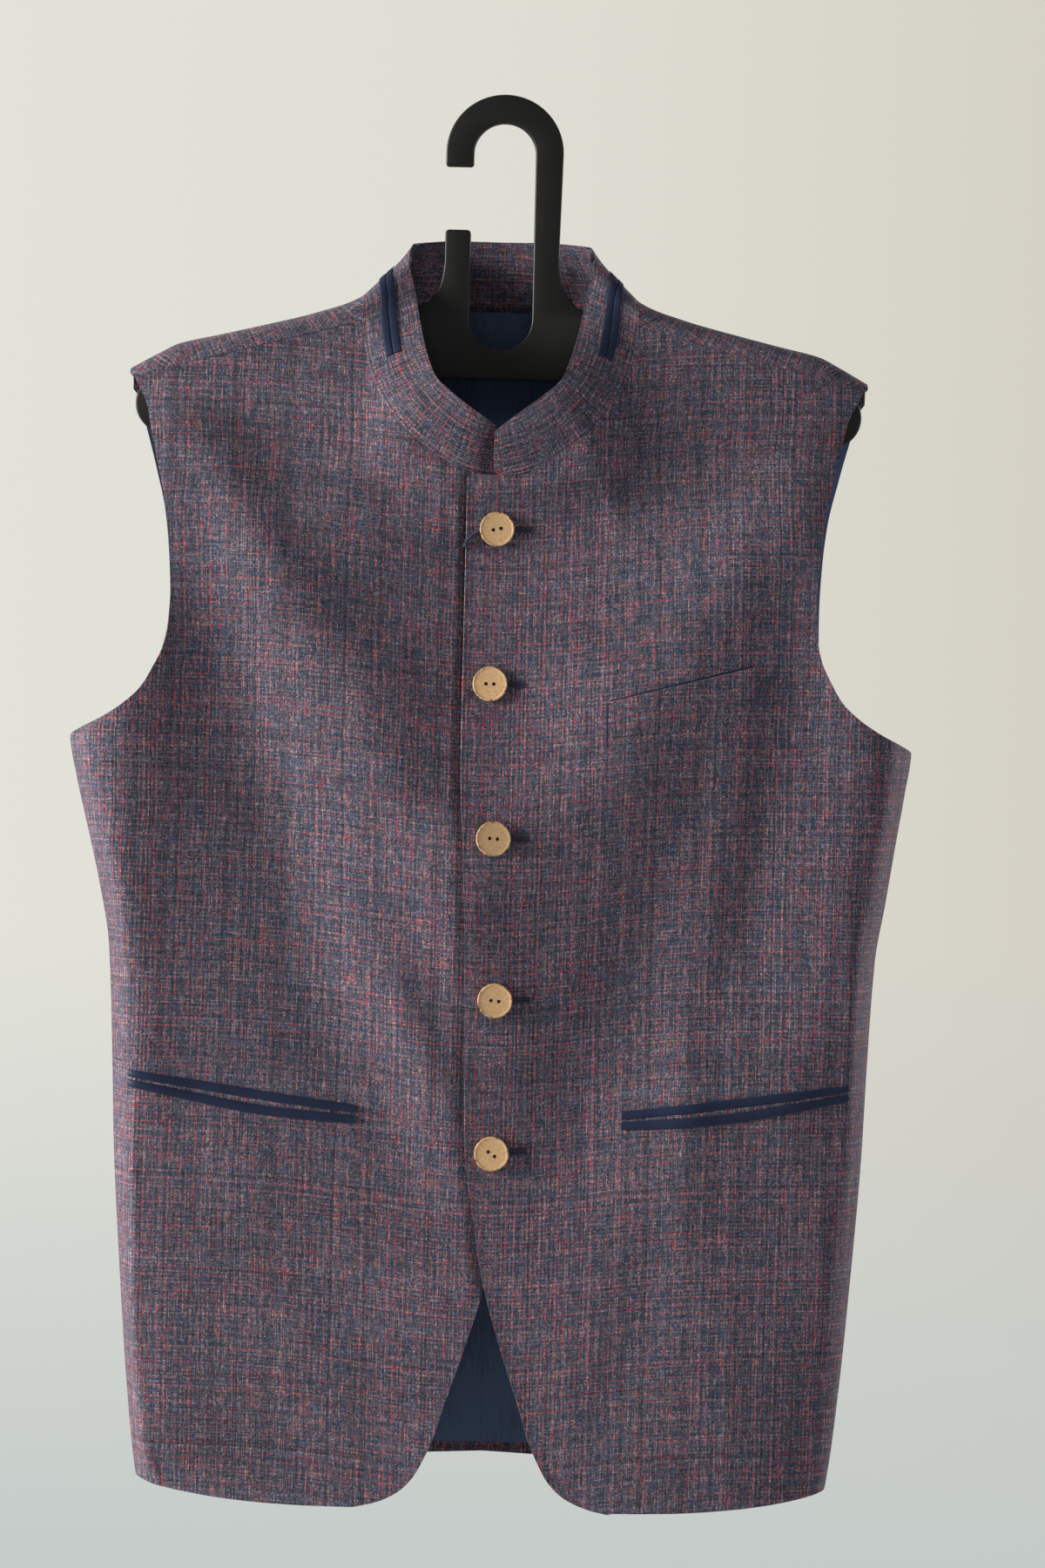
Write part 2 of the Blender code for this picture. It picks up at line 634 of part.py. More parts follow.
def make_lining():
    """The two halves of the back lining, which meet at the centre seam."""
    made = []
    for side in ("left", "right"):
        sheet = grid_sheet(
            "lining_back_" + side,
            BACK_COLUMNS,
            len(LINING_GRID_ROWS) - 1,
            lambda u, v, side=side: back_point(u, row_at(LINING_GRID_ROWS, v), side, lining=True),
            flip=side == "left",
        )
        made.append(paint(thicken(sheet, LINING_WALL), SATIN))
    return made


def collar_ring(u, v):
    """The whole collar, from its over end on the wearer's left around to its under end."""
    left = u <= 0.5
    course = row_at(COLLAR_GRID, 1.0 - np.abs(2.0 * u - 1.0))
    points = np.where(left[:, None], collar_point(course, v, "left"), collar_point(course, v, "right"))
    near = 1.0 - ease(course - COLLAR_START)
    points[:, 0] = points[:, 0] + np.where(left, COLLAR_OVER_EDGE, COLLAR_UNDER_EDGE) * near
    points[:, 1] = points[:, 1] - np.where(left, COLLAR_OVER_LIFT, 0.0) * near
    return points


def make_collar():
    sheet = grid_sheet("collar", 2 * len(COLLAR_GRID) - 2, COLLAR_RISE_STEPS, collar_ring)
    return paint(thicken(sheet, COLLAR_WALL), SUITING)


def make_pipings():
    """Two satin pipings on each side of the collar, laid on its face."""
    made = []
    lift = np.array([PIPING_GAP + PIPING_WALL])
    for side in ("left", "right"):
        for name, (low, high) in zip(("lower", "upper"), PIPING_RISES):

            def place(u, v, side=side, low=low, high=high):
                course = PIPING_FRONT + (PIPING_BACK - PIPING_FRONT) * u
                rise = low + (high - low) * v
                return collar_point(course, rise, side, np.repeat(lift, len(u)))

            full_name = "collar_piping_%s_%s" % (name, side)
            sheet = grid_sheet(full_name, PIPING_STEPS, 1, place, flip=side == "right")
            made.append(paint(thicken(sheet, PIPING_WALL), SATIN))
    return made


def on_front(x, z, side, lift, skins):
    """Points in front of a front's facets, lift away from them; x is a distance from the centre."""
    x = -x if side == "right" else x
    points = []
    for place_x, place_z in zip(x + hang(z), z):
        hit, slope, _, _ = skins[side].ray_cast(Vector((place_x, -1.0, place_z)), Vector((0.0, 1.0, 0.0)))
        points.append((place_x, hit.y - lift / max(abs(slope.y), STEEPEST_LIFT), place_z))
    return np.array(points)


def make_welt(skins):
    """The chest welt, laid on the over front."""
    along = WELT_OUTER - WELT_INNER
    across = Vector((-along.y, along.x)).normalized() * WELT_HEIGHT

    def place(u, v):
        x = WELT_INNER.x + along.x * u + across.x * (v - 0.5)
        z = WELT_INNER.y + along.y * u + across.y * (v - 0.5)
        return on_front(x, z, "left", LAID_GAP + WELT_WALL, skins)

    sheet = grid_sheet("chest_welt", WELT_STEPS[0], WELT_STEPS[1], place)
    return paint(thicken(sheet, WELT_WALL), SUITING)


def make_pockets(skins):
    """Upper and lower jet of each lower pocket, and the strip in its mouth."""
    strips = (
        PocketStrip("jet_upper_", "upper_low_z", "top_z", JET_WALL, SATIN, 0.0, 0.0),
        PocketStrip("jet_lower_", "bottom_z", "lower_top_z", JET_WALL, SATIN, 0.0, 0.0),
        PocketStrip(
            "pocket_mouth_",
            "lower_top_z",
            "upper_low_z",
            MOUTH_WALL,
            SUITING,
            MOUTH_END_MARGIN,
            MOUTH_SIDE_MARGIN,
        ),
    )
    made = []
    for side in ("left", "right"):
        for strip in strips:

            def place(u, v, side=side, strip=strip):
                first = POCKET[0].x + strip.end_margin
                last = POCKET[-1].x - strip.end_margin
                x = first + (last - first) * u
                low_z = value_at(POCKET, "x", strip.low, x) + strip.side_margin
                high_z = value_at(POCKET, "x", strip.high, x) - strip.side_margin
                return on_front(x, low_z + (high_z - low_z) * v, side, JET_GAP + strip.wall, skins)

            sheet = grid_sheet(strip.name + side, POCKET_STEPS, 1, place, flip=side == "right")
            made.append(paint(thicken(sheet, strip.wall), strip.look))
    return made


def turned_profile(name, profile, segments):
    """A turned solid: the profile runs from the middle of its top, round the rim, to its base."""
    mesh = bpy.data.meshes.new(name)
    outline = bmesh.new()
    corners = [outline.verts.new((point.radius, 0.0, point.height)) for point in profile]
    for start, end in zip(corners, corners[1:]):
        outline.edges.new((start, end))
    outline.to_mesh(mesh)
    outline.free()
    turned = bpy.data.objects.new(name, mesh)
    bpy.context.scene.collection.objects.link(turned)
    screw = turned.modifiers.new("turn", "SCREW")
    screw.steps = segments
    screw.render_steps = segments
    screw.use_merge_vertices = True
    screw.merge_threshold = 0.00001
    screw.use_smooth_shade = True
    return turned


def thread_hole(name, reach, turn):
    """A short rod that cuts one thread hole, at a distance from the button's middle."""
    centre = (reach * math.cos(turn), reach * math.sin(turn), BUTTON_HOLE_DEPTH / 4)
    bpy.ops.mesh.primitive_cylinder_add(
        vertices=BUTTON_HOLE_SEGMENTS,
        radius=BUTTON_HOLE_RADIUS,
        depth=BUTTON_HOLE_DEPTH,
        location=centre,
    )
    rod = bpy.context.active_object
    rod.name = name
    return rod


def button_seat(place):
    """Matrix that carries a button from the origin to the over front, square to the cloth."""
    xs = np.array([place.x, place.x - SLOPE_STEP, place.x + SLOPE_STEP, place.x, place.x])
    zs = np.array([place.z, place.z, place.z, place.z - SLOPE_STEP, place.z + SLOPE_STEP])
    ys = front_y(xs, zs, "left")
    outward = Vector((float(ys[2] - ys[1]), -2.0 * SLOPE_STEP, float(ys[4] - ys[3]))).normalized()
    upward = outward.cross(Vector((1.0, 0.0, 0.0))).normalized()
    seat = Matrix((upward.cross(outward), upward, outward)).transposed().to_4x4()
    middle = Vector((place.x + float(hang(place.z)), float(ys[0]), place.z))
    seat.translation = middle + outward * BUTTON_STAND
    return seat


def make_buttons():
    """Five two-hole buttons with raised rims, and the rods that cut their holes."""
    buttons = []
    rods = []
    for number, place in enumerate(BUTTONS, start=1):
        button = turned_profile("button_%d" % number, BUTTON_PROFILE, BUTTON_SEGMENTS)
        seat = button_seat(place)
        for mark, way in (("a", -1.0), ("b", 1.0)):
            reach = way * BUTTON_HOLE_SPACING / 2.0
            rod = thread_hole("cut_button_%d_%s" % (number, mark), reach, math.radians(place.hole_turn))
            rod.matrix_world = seat @ Matrix.Translation(rod.location)
            hole = button.modifiers.new("hole_" + mark, "BOOLEAN")
            hole.operation = "DIFFERENCE"
            hole.solver = "EXACT"
            hole.object = rod
            rods.append(rod)
        button.matrix_world = seat
        buttons.append(paint(button, SHELL))
    return buttons, rods


def arc(centre, radius, start, end, steps):
    """Points of an arc, angles in degrees from +X towards +Z."""
    points = []
    for step in range(steps + 1):
        angle = math.radians(start + (end - start) * step / steps)
        points.append((centre[0] + radius * math.cos(angle), centre[1] + radius * math.sin(angle)))
    return points


def hanger_outline():
    """Edge of the hanger plate seen from the front, from the hook's tip round to it again."""
    hook = HOOK_CENTRE
    edge = arc(hook, HOOK_INNER_RADIUS, 180.0, 0.0, HOOK_STEPS)
    edge += [(SLOT_HALF_WIDTH, SLOT_TOP_Z)]
    edge += arc((0.0, SLOT_BOTTOM_Z + SLOT_HALF_WIDTH), SLOT_HALF_WIDTH, 0.0, -180.0, SLOT_STEPS)
    edge += [(-SLOT_HALF_WIDTH, STUB_TOP_Z - STUB_ROUND)]
    edge += arc((-SLOT_HALF_WIDTH - STUB_ROUND, STUB_TOP_Z - STUB_ROUND), STUB_ROUND, 30.0, 90.0, 2)
    edge += arc((-SHANK_OUTER_X + STUB_ROUND, STUB_TOP_Z - STUB_ROUND), STUB_ROUND, 90.0, 180.0, CORNER_STEPS)
    left_arm = [(-x, z) for x, z in arm_edge()]
    edge += left_arm
    right_arm = list(reversed(arm_edge()))
    edge += right_arm
    edge += arc(hook, HOOK_OUTER_RADIUS, 0.0, 180.0, HOOK_STEPS)
    low = hook[1] - HOOK_TIP_DROP + HOOK_TIP_ROUND
    outer_corner = (hook[0] - HOOK_OUTER_RADIUS + HOOK_TIP_ROUND, low)
    inner_corner = (hook[0] - HOOK_INNER_RADIUS - HOOK_TIP_ROUND, low)
    edge += arc(outer_corner, HOOK_TIP_ROUND, 180.0, 270.0, CORNER_STEPS)
    edge += arc(inner_corner, HOOK_TIP_ROUND, 270.0, 360.0, CORNER_STEPS)
    return edge


def arm_edge():
    """Edge of one arm, from the shank down, along the shoulder, round the end and back under."""
    points = [(point.x, point.z) for point in SHANK_FLARE]
    top_end_x = ARM_END_X - ARM_END_RADIUS * ARM_TOP_END_SHARE
    for step in range(ARM_TOP_STEPS + 1):
        x = ARM_TOP_START_X + (top_end_x - ARM_TOP_START_X) * step / ARM_TOP_STEPS
        start_drop = ARM_TOP_START_DROP if step == 0 else 0.0
        points.append((x, float(ridge_z(x)) - ARM_TOP_DROP - start_drop))
    end = (ARM_END_X - ARM_END_RADIUS, ARM_END_CENTRE_Z)
    points += arc(end, ARM_END_RADIUS, 45.0, -90.0, ARM_END_STEPS)
    points += [(point.x, point.z) for point in ARM_UNDERSIDE]
    return points


def make_hanger():
    """The flat moulded hanger with its hook and slot, in one body."""
    curve = bpy.data.curves.new("hanger", "CURVE")
    curve.dimensions = "2D"
    curve.fill_mode = "BOTH"
    curve.extrude = PLATE_THICKNESS / 2.0 - PLATE_EDGE_ROUND
    curve.bevel_depth = PLATE_EDGE_ROUND
    curve.bevel_resolution = 0
    curve.offset = -PLATE_EDGE_ROUND
    outline = hanger_outline()
    spline = curve.splines.new("POLY")
    spline.points.add(len(outline) - 1)
    for point, (x, z) in zip(spline.points, outline):
        point.co = (x, z, 0.0, 1.0)
    spline.use_cyclic_u = True
    drawn = bpy.data.objects.new("hanger_curve", curve)
    bpy.context.scene.collection.objects.link(drawn)
    bpy.context.view_layer.update()
    evaluated = drawn.evaluated_get(bpy.context.evaluated_depsgraph_get())
    mesh = bpy.data.meshes.new_from_object(evaluated)
    mesh.name = "hanger"
    for vertex in mesh.vertices:
        vertex.co = Vector((vertex.co.x, vertex.co.z, vertex.co.y))
    mesh.flip_normals()
    welded = bmesh.new()
    welded.from_mesh(mesh)
    bmesh.ops.remove_doubles(welded, verts=welded.verts, dist=0.00002)
    bmesh.ops.recalc_face_normals(welded, faces=welded.faces)
    welded.to_mesh(mesh)
    welded.free()
    bpy.data.objects.remove(drawn, do_unlink=True)
    hanger = bpy.data.objects.new("hanger", mesh)
    bpy.context.scene.collection.objects.link(hanger)
    return paint(hanger, PLASTIC)


def collect(name, things, hidden=False):
    """Moves objects into a collection of their own."""
    group = bpy.data.collections.new(name)
    bpy.context.scene.collection.children.link(group)
    for thing in things:
        for owner in list(thing.users_collection):
            owner.objects.unlink(thing)
        group.objects.link(thing)
        if hidden:
            thing.hide_render = True
            thing.display_type = "WIRE"
    return group


def main():
    for old in list(bpy.data.objects):
        bpy.data.objects.remove(old, do_unlink=True)
    pieces, skins = make_fronts()
    pieces.append(make_back())
    pieces += make_lining()
    pieces.append(make_collar())
    pieces += make_pipings()
    pieces.append(make_welt(skins))
    pieces += make_pockets(skins)
    buttons, rods = make_buttons()
    pieces += buttons
    pieces.append(make_hanger())
    collect(OBJECT_NAME, pieces)
    collect(OBJECT_NAME + "_cutters", rods, hidden=True)


main()
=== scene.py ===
"""Looks of a sleeveless band-collar jacket on its flat hanger: cloth, lining, buttons, hanger, studio.

Metres, +Z up. The jacket faces -Y and the wearer's left is +X.
The origin is the inside top of the hook, where a rod or wall hook carries it.
"""

import math
from collections import namedtuple
from functools import partial

import bmesh
import bpy
import numpy as np
from bpy.props import FloatProperty, PointerProperty, StringProperty
from mathutils import Matrix, Vector


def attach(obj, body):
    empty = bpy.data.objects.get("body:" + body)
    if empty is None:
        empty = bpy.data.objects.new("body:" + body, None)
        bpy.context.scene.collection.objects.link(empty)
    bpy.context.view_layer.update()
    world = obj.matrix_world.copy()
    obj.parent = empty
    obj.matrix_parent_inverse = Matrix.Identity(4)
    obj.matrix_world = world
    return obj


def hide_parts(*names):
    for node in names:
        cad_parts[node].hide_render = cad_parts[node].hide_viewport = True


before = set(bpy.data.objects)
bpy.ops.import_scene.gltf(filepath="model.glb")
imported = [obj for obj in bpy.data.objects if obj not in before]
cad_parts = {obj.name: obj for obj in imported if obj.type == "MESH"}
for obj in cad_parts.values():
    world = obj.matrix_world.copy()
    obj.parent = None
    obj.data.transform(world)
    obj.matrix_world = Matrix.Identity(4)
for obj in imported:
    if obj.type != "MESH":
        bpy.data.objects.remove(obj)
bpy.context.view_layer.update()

bl_info = {
    "name": "Nehru Jacket Looks",
    "version": (1, 0, 0),
    "blender": (4, 5, 0),
    "location": "View3D > Sidebar > Jacket",
    "description": "Builds a sleeveless band-collar jacket on its hanger, and the studio around it",
    "category": "Object",
}

BODY = "root"
SIDES = ("left", "right")


def table(columns, *rows, plain=()):
    """Rows with named columns: millimetres, made metres, but for the columns named as plain."""
    row_kind = namedtuple("Row", columns)
    metres = [
        [
            value if name in plain else round(value * 1000) / 1e6
            for name, value in zip(row_kind._fields, row)
        ]
        for row in rows
    ]
    return tuple(row_kind(*row) for row in metres)


# ---------------------------------------------------------------- cut of the body

SEAM_GAP = 0.0002
COLLAR_TUCK = 0.0006
SECTION_POWER = 3.5
SHOULDER_ROUND = 0.0115
SHOULDER_FALL = 0.160
AT_RIDGE = {"front": 0.42, "back": 0.46}

# The jacket hangs this far to the wearer's left from the waist down
HANG_SHIFT = 0.0035
HANG_START_Z = -0.374
HANG_LENGTH = 0.110

# The under front drops behind the over front near the closing edges
OVERLAP_DROP = 0.0027
OVERLAP_START_X = -0.100
OVERLAP_BLEND = 0.076
CLOSING_PROUD = 0.0005
CLOSING_TUCK = 0.0013
CLOSING_WIDTH = 0.0045

# The lining lies inside the back; its edge shows past the front at the armholes
LINING_SIDE_INSET = 0.0036
LINING_ARMHOLE_INSET = 0.0004
LINING_INSET_ROWS = 2.0
LINING_BEHIND = 0.0040
LINING_HEM_Z = -0.8020
LINING_TOP_DROP = 0.0035
LINING_DROP_ROWS_MIDDLE = 9.0
LINING_DROP_ROWS_ARMHOLE = 3.0
HEM_BOW = 2.5
HEM_BOW_ROWS = 6.0

# Above the underarm a row's points even out over this many rows, by this share
EVEN_OUT_ROWS = 5.0
EVEN_OUT_SHARE = 0.8

BODY_LEVELS = table(
    "z half_width front_depth back_depth",
    (-100, 236, 34, 32),
    (-160, 240.5, 43, 37),
    (-220, 245, 51, 43),
    (-300, 250, 58, 48),
    (-374, 253, 61, 50),
    (-400, 249, 61, 50),
    (-430, 243, 60, 49),
    (-464, 236.5, 58, 48),
    (-500, 230.5, 57, 47),
    (-560, 227.3, 54, 45),
    (-620, 225, 51, 44),
    (-700, 219.5, 48, 43),
    (-760, 214.5, 46, 42),
    (-815, 208, 44, 41),
    (-832, 203.5, 43, 40),
)

# Top line of the shoulder; inside the neck it only steers the depth of the cloth
SHOULDER_RIDGE = table(
    "x z",
    (0, 20),
    (30, 0),
    (60, -60),
    (82, -105),
    (109, -116),
    (143, -125),
    (170, -131.5),
    (193, -137),
    (205, -143),
    (222, -152.5),
)

ARMHOLE = table(
    "z front_x back_x",
    (-374.5, 253, 253),
    (-371.5, 246, 247.5),
    (-365, 231.5, 235),
    (-356, 217.5, 222.5),
    (-346, 207, 213.5),
    (-334, 200, 207),
    (-322, 194.5, 202),
    (-308, 191.8, 199.5),
    (-290, 191, 199.3),
    (-260, 193, 200.3),
    (-236, 196, 202.5),
    (-210, 202, 208),
    (-187, 207.5, 213.5),
    (-174.5, 211, 216.5),
    (-166, 215.5, 219),
    (-152.5, 222, 222),
)

# Rows of a front, from the hem up to the shoulder seam
FRONT_ROWS = table(
    "row inner_x inner_z outer_z",
    (0, 75, -830, -817.5),
    (1, 62, -827, -811),
    (2, 50, -821.5, -803),
    (3, 40.5, -812.5, -794),
    (4, 34, -801, -783),
    (5, 28, -787, -770),
    (6, 22.5, -769, -756),
    (8, 10.5, -733, -723),
    (10, -0.3, -695, -688),
    (12, -7.8, -654, -650),
    (14, -13.2, -611, -610),
    (25, -17, -370, -374.5),
    (26, -17, -345, -369),
    (27, -17, -321, -359),
    (28, -17, -297, -346),
    (29, -17, -273, -330),
    (30, -17, -246.5, -310),
    (31, -17, -217.5, -286),
    (32, 13.5, -214.5, -260),
    (33, 39.5, -200.5, -234),
    (34, 60, -182, -210),
    (35, 73.5, -160, -187),
    (36, 80, -139, -171),
    (37, 82.2, -122.8, -158.5),
    plain=("row",),
)
FRONT_LAST_ROW = 37
THROAT_ROW = 31
UNDERARM_ROW_FRONT = 25
EdgePoint = namedtuple("EdgePoint", "z x")
CLOSING_EDGE = [EdgePoint(row.inner_z, row.inner_x) for row in FRONT_ROWS if row.row <= THROAT_ROW]

# Rows of half the back, from the hem up to just behind the shoulder
BACK_ROWS = table(
    "row inner_x inner_z outer_z",
    (0, 0, -808, -817.5),
    (1, 0, -790, -798),
    (17, 0, -372, -374.5),
    (18, 0, -345, -369),
    (19, 0, -319, -359),
    (20, 0, -292, -346),
    (21, 0, -265, -330),
    (22, 0, -238, -310),
    (23, 0, -210, -286),
    (24, 0, -180, -256),
    (25, 0, -144, -224),
    (26, 0, -107.5, -193),
    (27, 32, -108, -178),
    (28, 62, -108.5, -169),
    plain=("row",),
)
BACK_LAST_ROW = 28
UNDERARM_ROW_BACK = 17

# Over the shoulder: turn about the ridge in degrees, positive behind it
TURN_ROWS = table(
    "row inner_x inner_turn outer_turn",
    (29, 75.5, 50, 90),
    (30, 80, 26, 50),
    (31, 82.5, 0, 0),
    (32, 82.5, -45, -30),
    (33, 82.3, -78, -50),
    plain=("inner_turn", "outer_turn", "row"),
)
TURN_LAST_ROW = 34
SEAM_INNER = Vector((0.0822, -0.1225))
SEAM_OUTER = Vector((0.2200, -0.1585))

# Soft ridges (positive) and troughs (negative) along a bowed line. The width is given on the
# side towards the wearer's right and on the side towards the wearer's left. The last two columns
# are the shares of the length over which a crease fades in and out.
# The rows of FRONT_LINES are the output of a fitting program, rounded: they weren't placed by hand, and
# a few long folds placed by hand should replace them. BACK_CREASES were placed one by one.
CREASE_COLUMNS = "x0 z0 x1 z1 bow width_right width_left height start end"
FRONT_FADES = (0.45, 0.45)
FRONT_LINES = (
    (-172, -279, -87, -573, 4, 34, 34, -7.4),
    (-134, -365, -73, -686, -2, 33, 32, -6.1),
    (-192, -200, -108, -488, -3, 31, 29, -5.3),
    (-130, -443, -14, -719, 3, 34, 19, -5.1),
    (-167, -211, -7, -467, 1, 26, 28, 0.7),
    (-96, -281, 26, -591, -5, 20, 34, 5.5),
    (-249, -120, -67, -361, 2, 34, 24, 9.4),
    (250, -314, 170, -650, 12, 30, 30, 9.5),
    (-205, -202, -237, -576, -14, 27, 34, 9.5),
    (-115, -373, -178, -669, 0, 25, 34, 0.3),
    (-4, -367, -17, -682, 4, 26, 33, 2),
    (153, -300, -59, -514, 4, 34, 34, 6),
    (-191, -332, -122, -630, 5, 26, 28, -4.7),
    (141, -406, 14, -703, 2, 34, 34, -4.9),
    (244, -143, 61, -381, 1, 32, 30, 6.3),
    (-167, -670, -25, -729, 1, 34, 34, -5.1),
    (192, -264, 123, -599, 2, 17, 28, -6.2),
    (-213, -524, -200, -840, -2, 19, 32, 9.5),
    (-182, -785, -6, -814, 2, 34, 34, -6.5),
    (157, -339, 26, -625, -3, 21, 32, -3.6),
    (-177, -366, -165, -664, 3, 16, 28, -1.7),
    (-218, -634, -200, -840, -1, 8, 5, 9.5),
    (183, -178, 250, -478, 6, 32, 29, 8.9),
    (181, -206, -102, -294, 1, 34, 34, -6.6),
    (-213, -526, -212, -840, -1, 7, 8, 4.9),
    (-38, -170, -79, -262, -3, 15, 27, -5.8),
    (-231, -352, -169, -567, -3, 15, 20, -0.7),
    (-235, -384, -204, -651, -1, 22, 23, 9.5),
    (-233, -120, -185, -298, -1, 20, 20, 6.6),
    (-222, -738, -182, -840, 0, 8, 22, 6.3),
    (-64, -325, 63, -352, -3, 24, 27, -5.3),
    (215, -561, 207, -791, 2, 27, 20, 5.9),
    (-174, -177, -235, -388, 3, 20, 23, 1.5),
    (219, -452, 217, -689, 3, 12, 20, 7.8),
    (-71, -485, -15, -617, 1, 13, 10, 3),
    (-197, -532, -41, -693, 0, 23, 22, -2.1),
    (-209, -406, 3, -453, 2, 25, 27, -3.5),
    (-225, -732, -190, -840, 0, 8, 7, 5.9),
    (-197, -410, -197, -630, -1, 21, 20, 0.4),
    (-250, -164, -96, -226, -2, 22, 19, 5.1),
    (-162, -240, -250, -434, -5, 20, 21, 2.6),
    (117, -496, 123, -719, -1, 15, 14, 2.1),
    (117, -625, 61, -839, -1, 18, 20, -1.7),
    (-49, -419, 18, -438, 1, 15, 14, 4.4),
    (-149, -293, -205, -504, 1, 19, 20, -1),
)
FRONT_CREASES = table(
    CREASE_COLUMNS, *(line + FRONT_FADES for line in FRONT_LINES), plain=("start", "end")
)
BACK_CREASES = table(
    CREASE_COLUMNS,
    (120, -190, 85, -690, 10, 34, 34, 6.4, 0.25, 0.35),
    (165, -220, 95, -400, 6, 12, 16, -4.2, 0.3, 0.45),
    (150, -420, 140, -700, 4, 18, 18, -3.2, 0.4, 0.4),
    (30, -300, 40, -560, 3, 16, 20, 2.6, 0.4, 0.4),
    (-125, -200, -80, -650, -8, 34, 34, 6.4, 0.25, 0.35),
    (-175, -215, -110, -380, 4, 16, 11, -3.8, 0.3, 0.45),
    (-155, -400, -130, -720, 5, 20, 16, -3.5, 0.4, 0.4),
    (-45, -340, -30, -620, 2, 18, 16, 2.2, 0.4, 0.4),
    plain=("start", "end"),
)
FOLD_EDGE_MARGIN = 0.016
FOLD_TOP_MARGIN = 0.045
# The neckline, as an oval that the folds stay clear of
NECK_HALF_WIDTH = 0.0822
NECK_LEVEL_Z = -0.1232
NECK_DEPTH = 0.0890
FOLD_NECK_SHARE = 0.42

# Slow unevenness of hanging cloth: waves across and along, in metres, and their height
Wave = namedtuple("Wave", "across along turn height")
WAVES = (
    Wave(0.083, 0.210, 0.4, 0.00018),
    Wave(0.047, 0.125, 2.1, 0.00010),
    Wave(0.131, 0.067, 4.4, 0.00009),
    Wave(0.029, 0.055, 1.3, 0.00004),
)

# The collar's course runs along a front's neckline by its rows, then backwards through the
# back's rows to the centre. The upper edge is given by its place.
COLLAR_STOPS = table(
    "course up_x up_y up_z",
    (31.64, 0, -50, -190.5),
    (32.4, 14, -49, -178),
    (33.28, 27, -45.5, -167.5),
    (34.22, 37.5, -39.5, -157),
    (35.28, 44, -29.5, -140),
    (36.5, 48.5, -18, -120),
    (37, 51, -11, -106),
    (40, 56, 1, -83),
    (42, 54.5, 19, -71.5),
    (43, 40, 29, -68.5),
    (44, 20, 33.5, -67.5),
    (45, 0, 34.5, -67.5),
    plain=("course",),
)
COLLAR_START = COLLAR_STOPS[0].course
COLLAR_CENTRE_BACK = COLLAR_STOPS[-1].course
COURSE_STEP = 0.05
COLLAR_BULGE = 0.0012

# At the throat the over end runs past the middle in front, and the under end tucks in behind it
COLLAR_OVER_EDGE = -0.0018
COLLAR_UNDER_EDGE = 0.0040
COLLAR_OVER_LIFT = 0.0012
COLLAR_UNDER_DROP = 0.0024
COLLAR_UNDER_TUCK = 0.0026
COLLAR_TUCK_COURSE = 0.55
COLLAR_CORNER_ROUND = 0.0035
COLLAR_CORNER_SHARE = 0.13
COLLAR_CORNER_COURSE = 0.45

# Rows of the sheets' grids before they are split finer
NECK_FRONT_ROWS = [COLLAR_START] + [32.0 + 0.5 * step for step in range(11)]
NECK_BACK_ROWS = [26.0, 26.5, 27.0, 27.5, 28.0, 28.5, 29.0, 30.0, 31.0, 32.0, 33.0, 34.0]
FRONT_GRID_ROWS = [float(row) for row in range(15)] + [14.0 + 1.375 * step for step in range(1, 9)]
FRONT_GRID_ROWS += [float(row) for row in range(26, 32)] + NECK_FRONT_ROWS
BACK_GRID_ROWS = [float(row) for row in range(26)] + NECK_BACK_ROWS
LINING_GRID_ROWS = [row for row in BACK_GRID_ROWS if row <= BACK_LAST_ROW]
COLLAR_GRID = list(NECK_FRONT_ROWS)
COLLAR_GRID += [FRONT_LAST_ROW + TURN_LAST_ROW - row for row in reversed(NECK_BACK_ROWS[:-1])]

# Columns and rows of each sheet's grid
FRONT_STEPS = (110, 6 * (len(FRONT_GRID_ROWS) - 1))
BACK_STEPS = (64, 5 * (len(BACK_GRID_ROWS) - 1))
LINING_STEPS = (40, 3 * (len(LINING_GRID_ROWS) - 1))
COLLAR_STEPS = (12 * (len(COLLAR_GRID) - 1), 14)
PIPING_STEPS = (60, 6)
WELT_STEPS = (70, 20)
TACK_STEPS = (1, 40)
WELT_LINING_SHADE_STEPS = (70, 6)
POCKET_STEPS = (90, 6)

# Double piping along each side of the collar: start, end, rise across the band
PIPING_FRONT = 35.50
PIPING_BACK = 40.80
PIPING_RISES = {"lower": (0.320, 0.450), "upper": (0.465, 0.595)}
PIPING_CLIMB = 0.070
PIPING_LIFT_SHARE = 0.25
LAID_WALL_SHARE = 0.4

# Chest welt on the wearer's left
WELT_INNER = Vector((0.0680, -0.3630))
WELT_OUTER = Vector((0.1555, -0.3395))
WELT_ALONG = WELT_OUTER - WELT_INNER
WELT_HEIGHT = 0.0255
WELT_RISE = WELT_HEIGHT * WELT_ALONG.length / WELT_ALONG.x
WELT_SEAM_SHARE = 0.35
WELT_STAND = 0.0010
WELT_TACK_WIDTH = 0.0008
WELT_TACK_PROUD = 0.0002
# Pocket lining seen above the welt: a dark strip laid on the front that paints the shade of the pocket's
# open mouth as well as the lining's own dark
WELT_LINING_SHADE_INSET = 0.02
WELT_LINING_SHADE_HEIGHT = 0.0120
WELT_LINING_SHADE_SHOWS = 0.0011

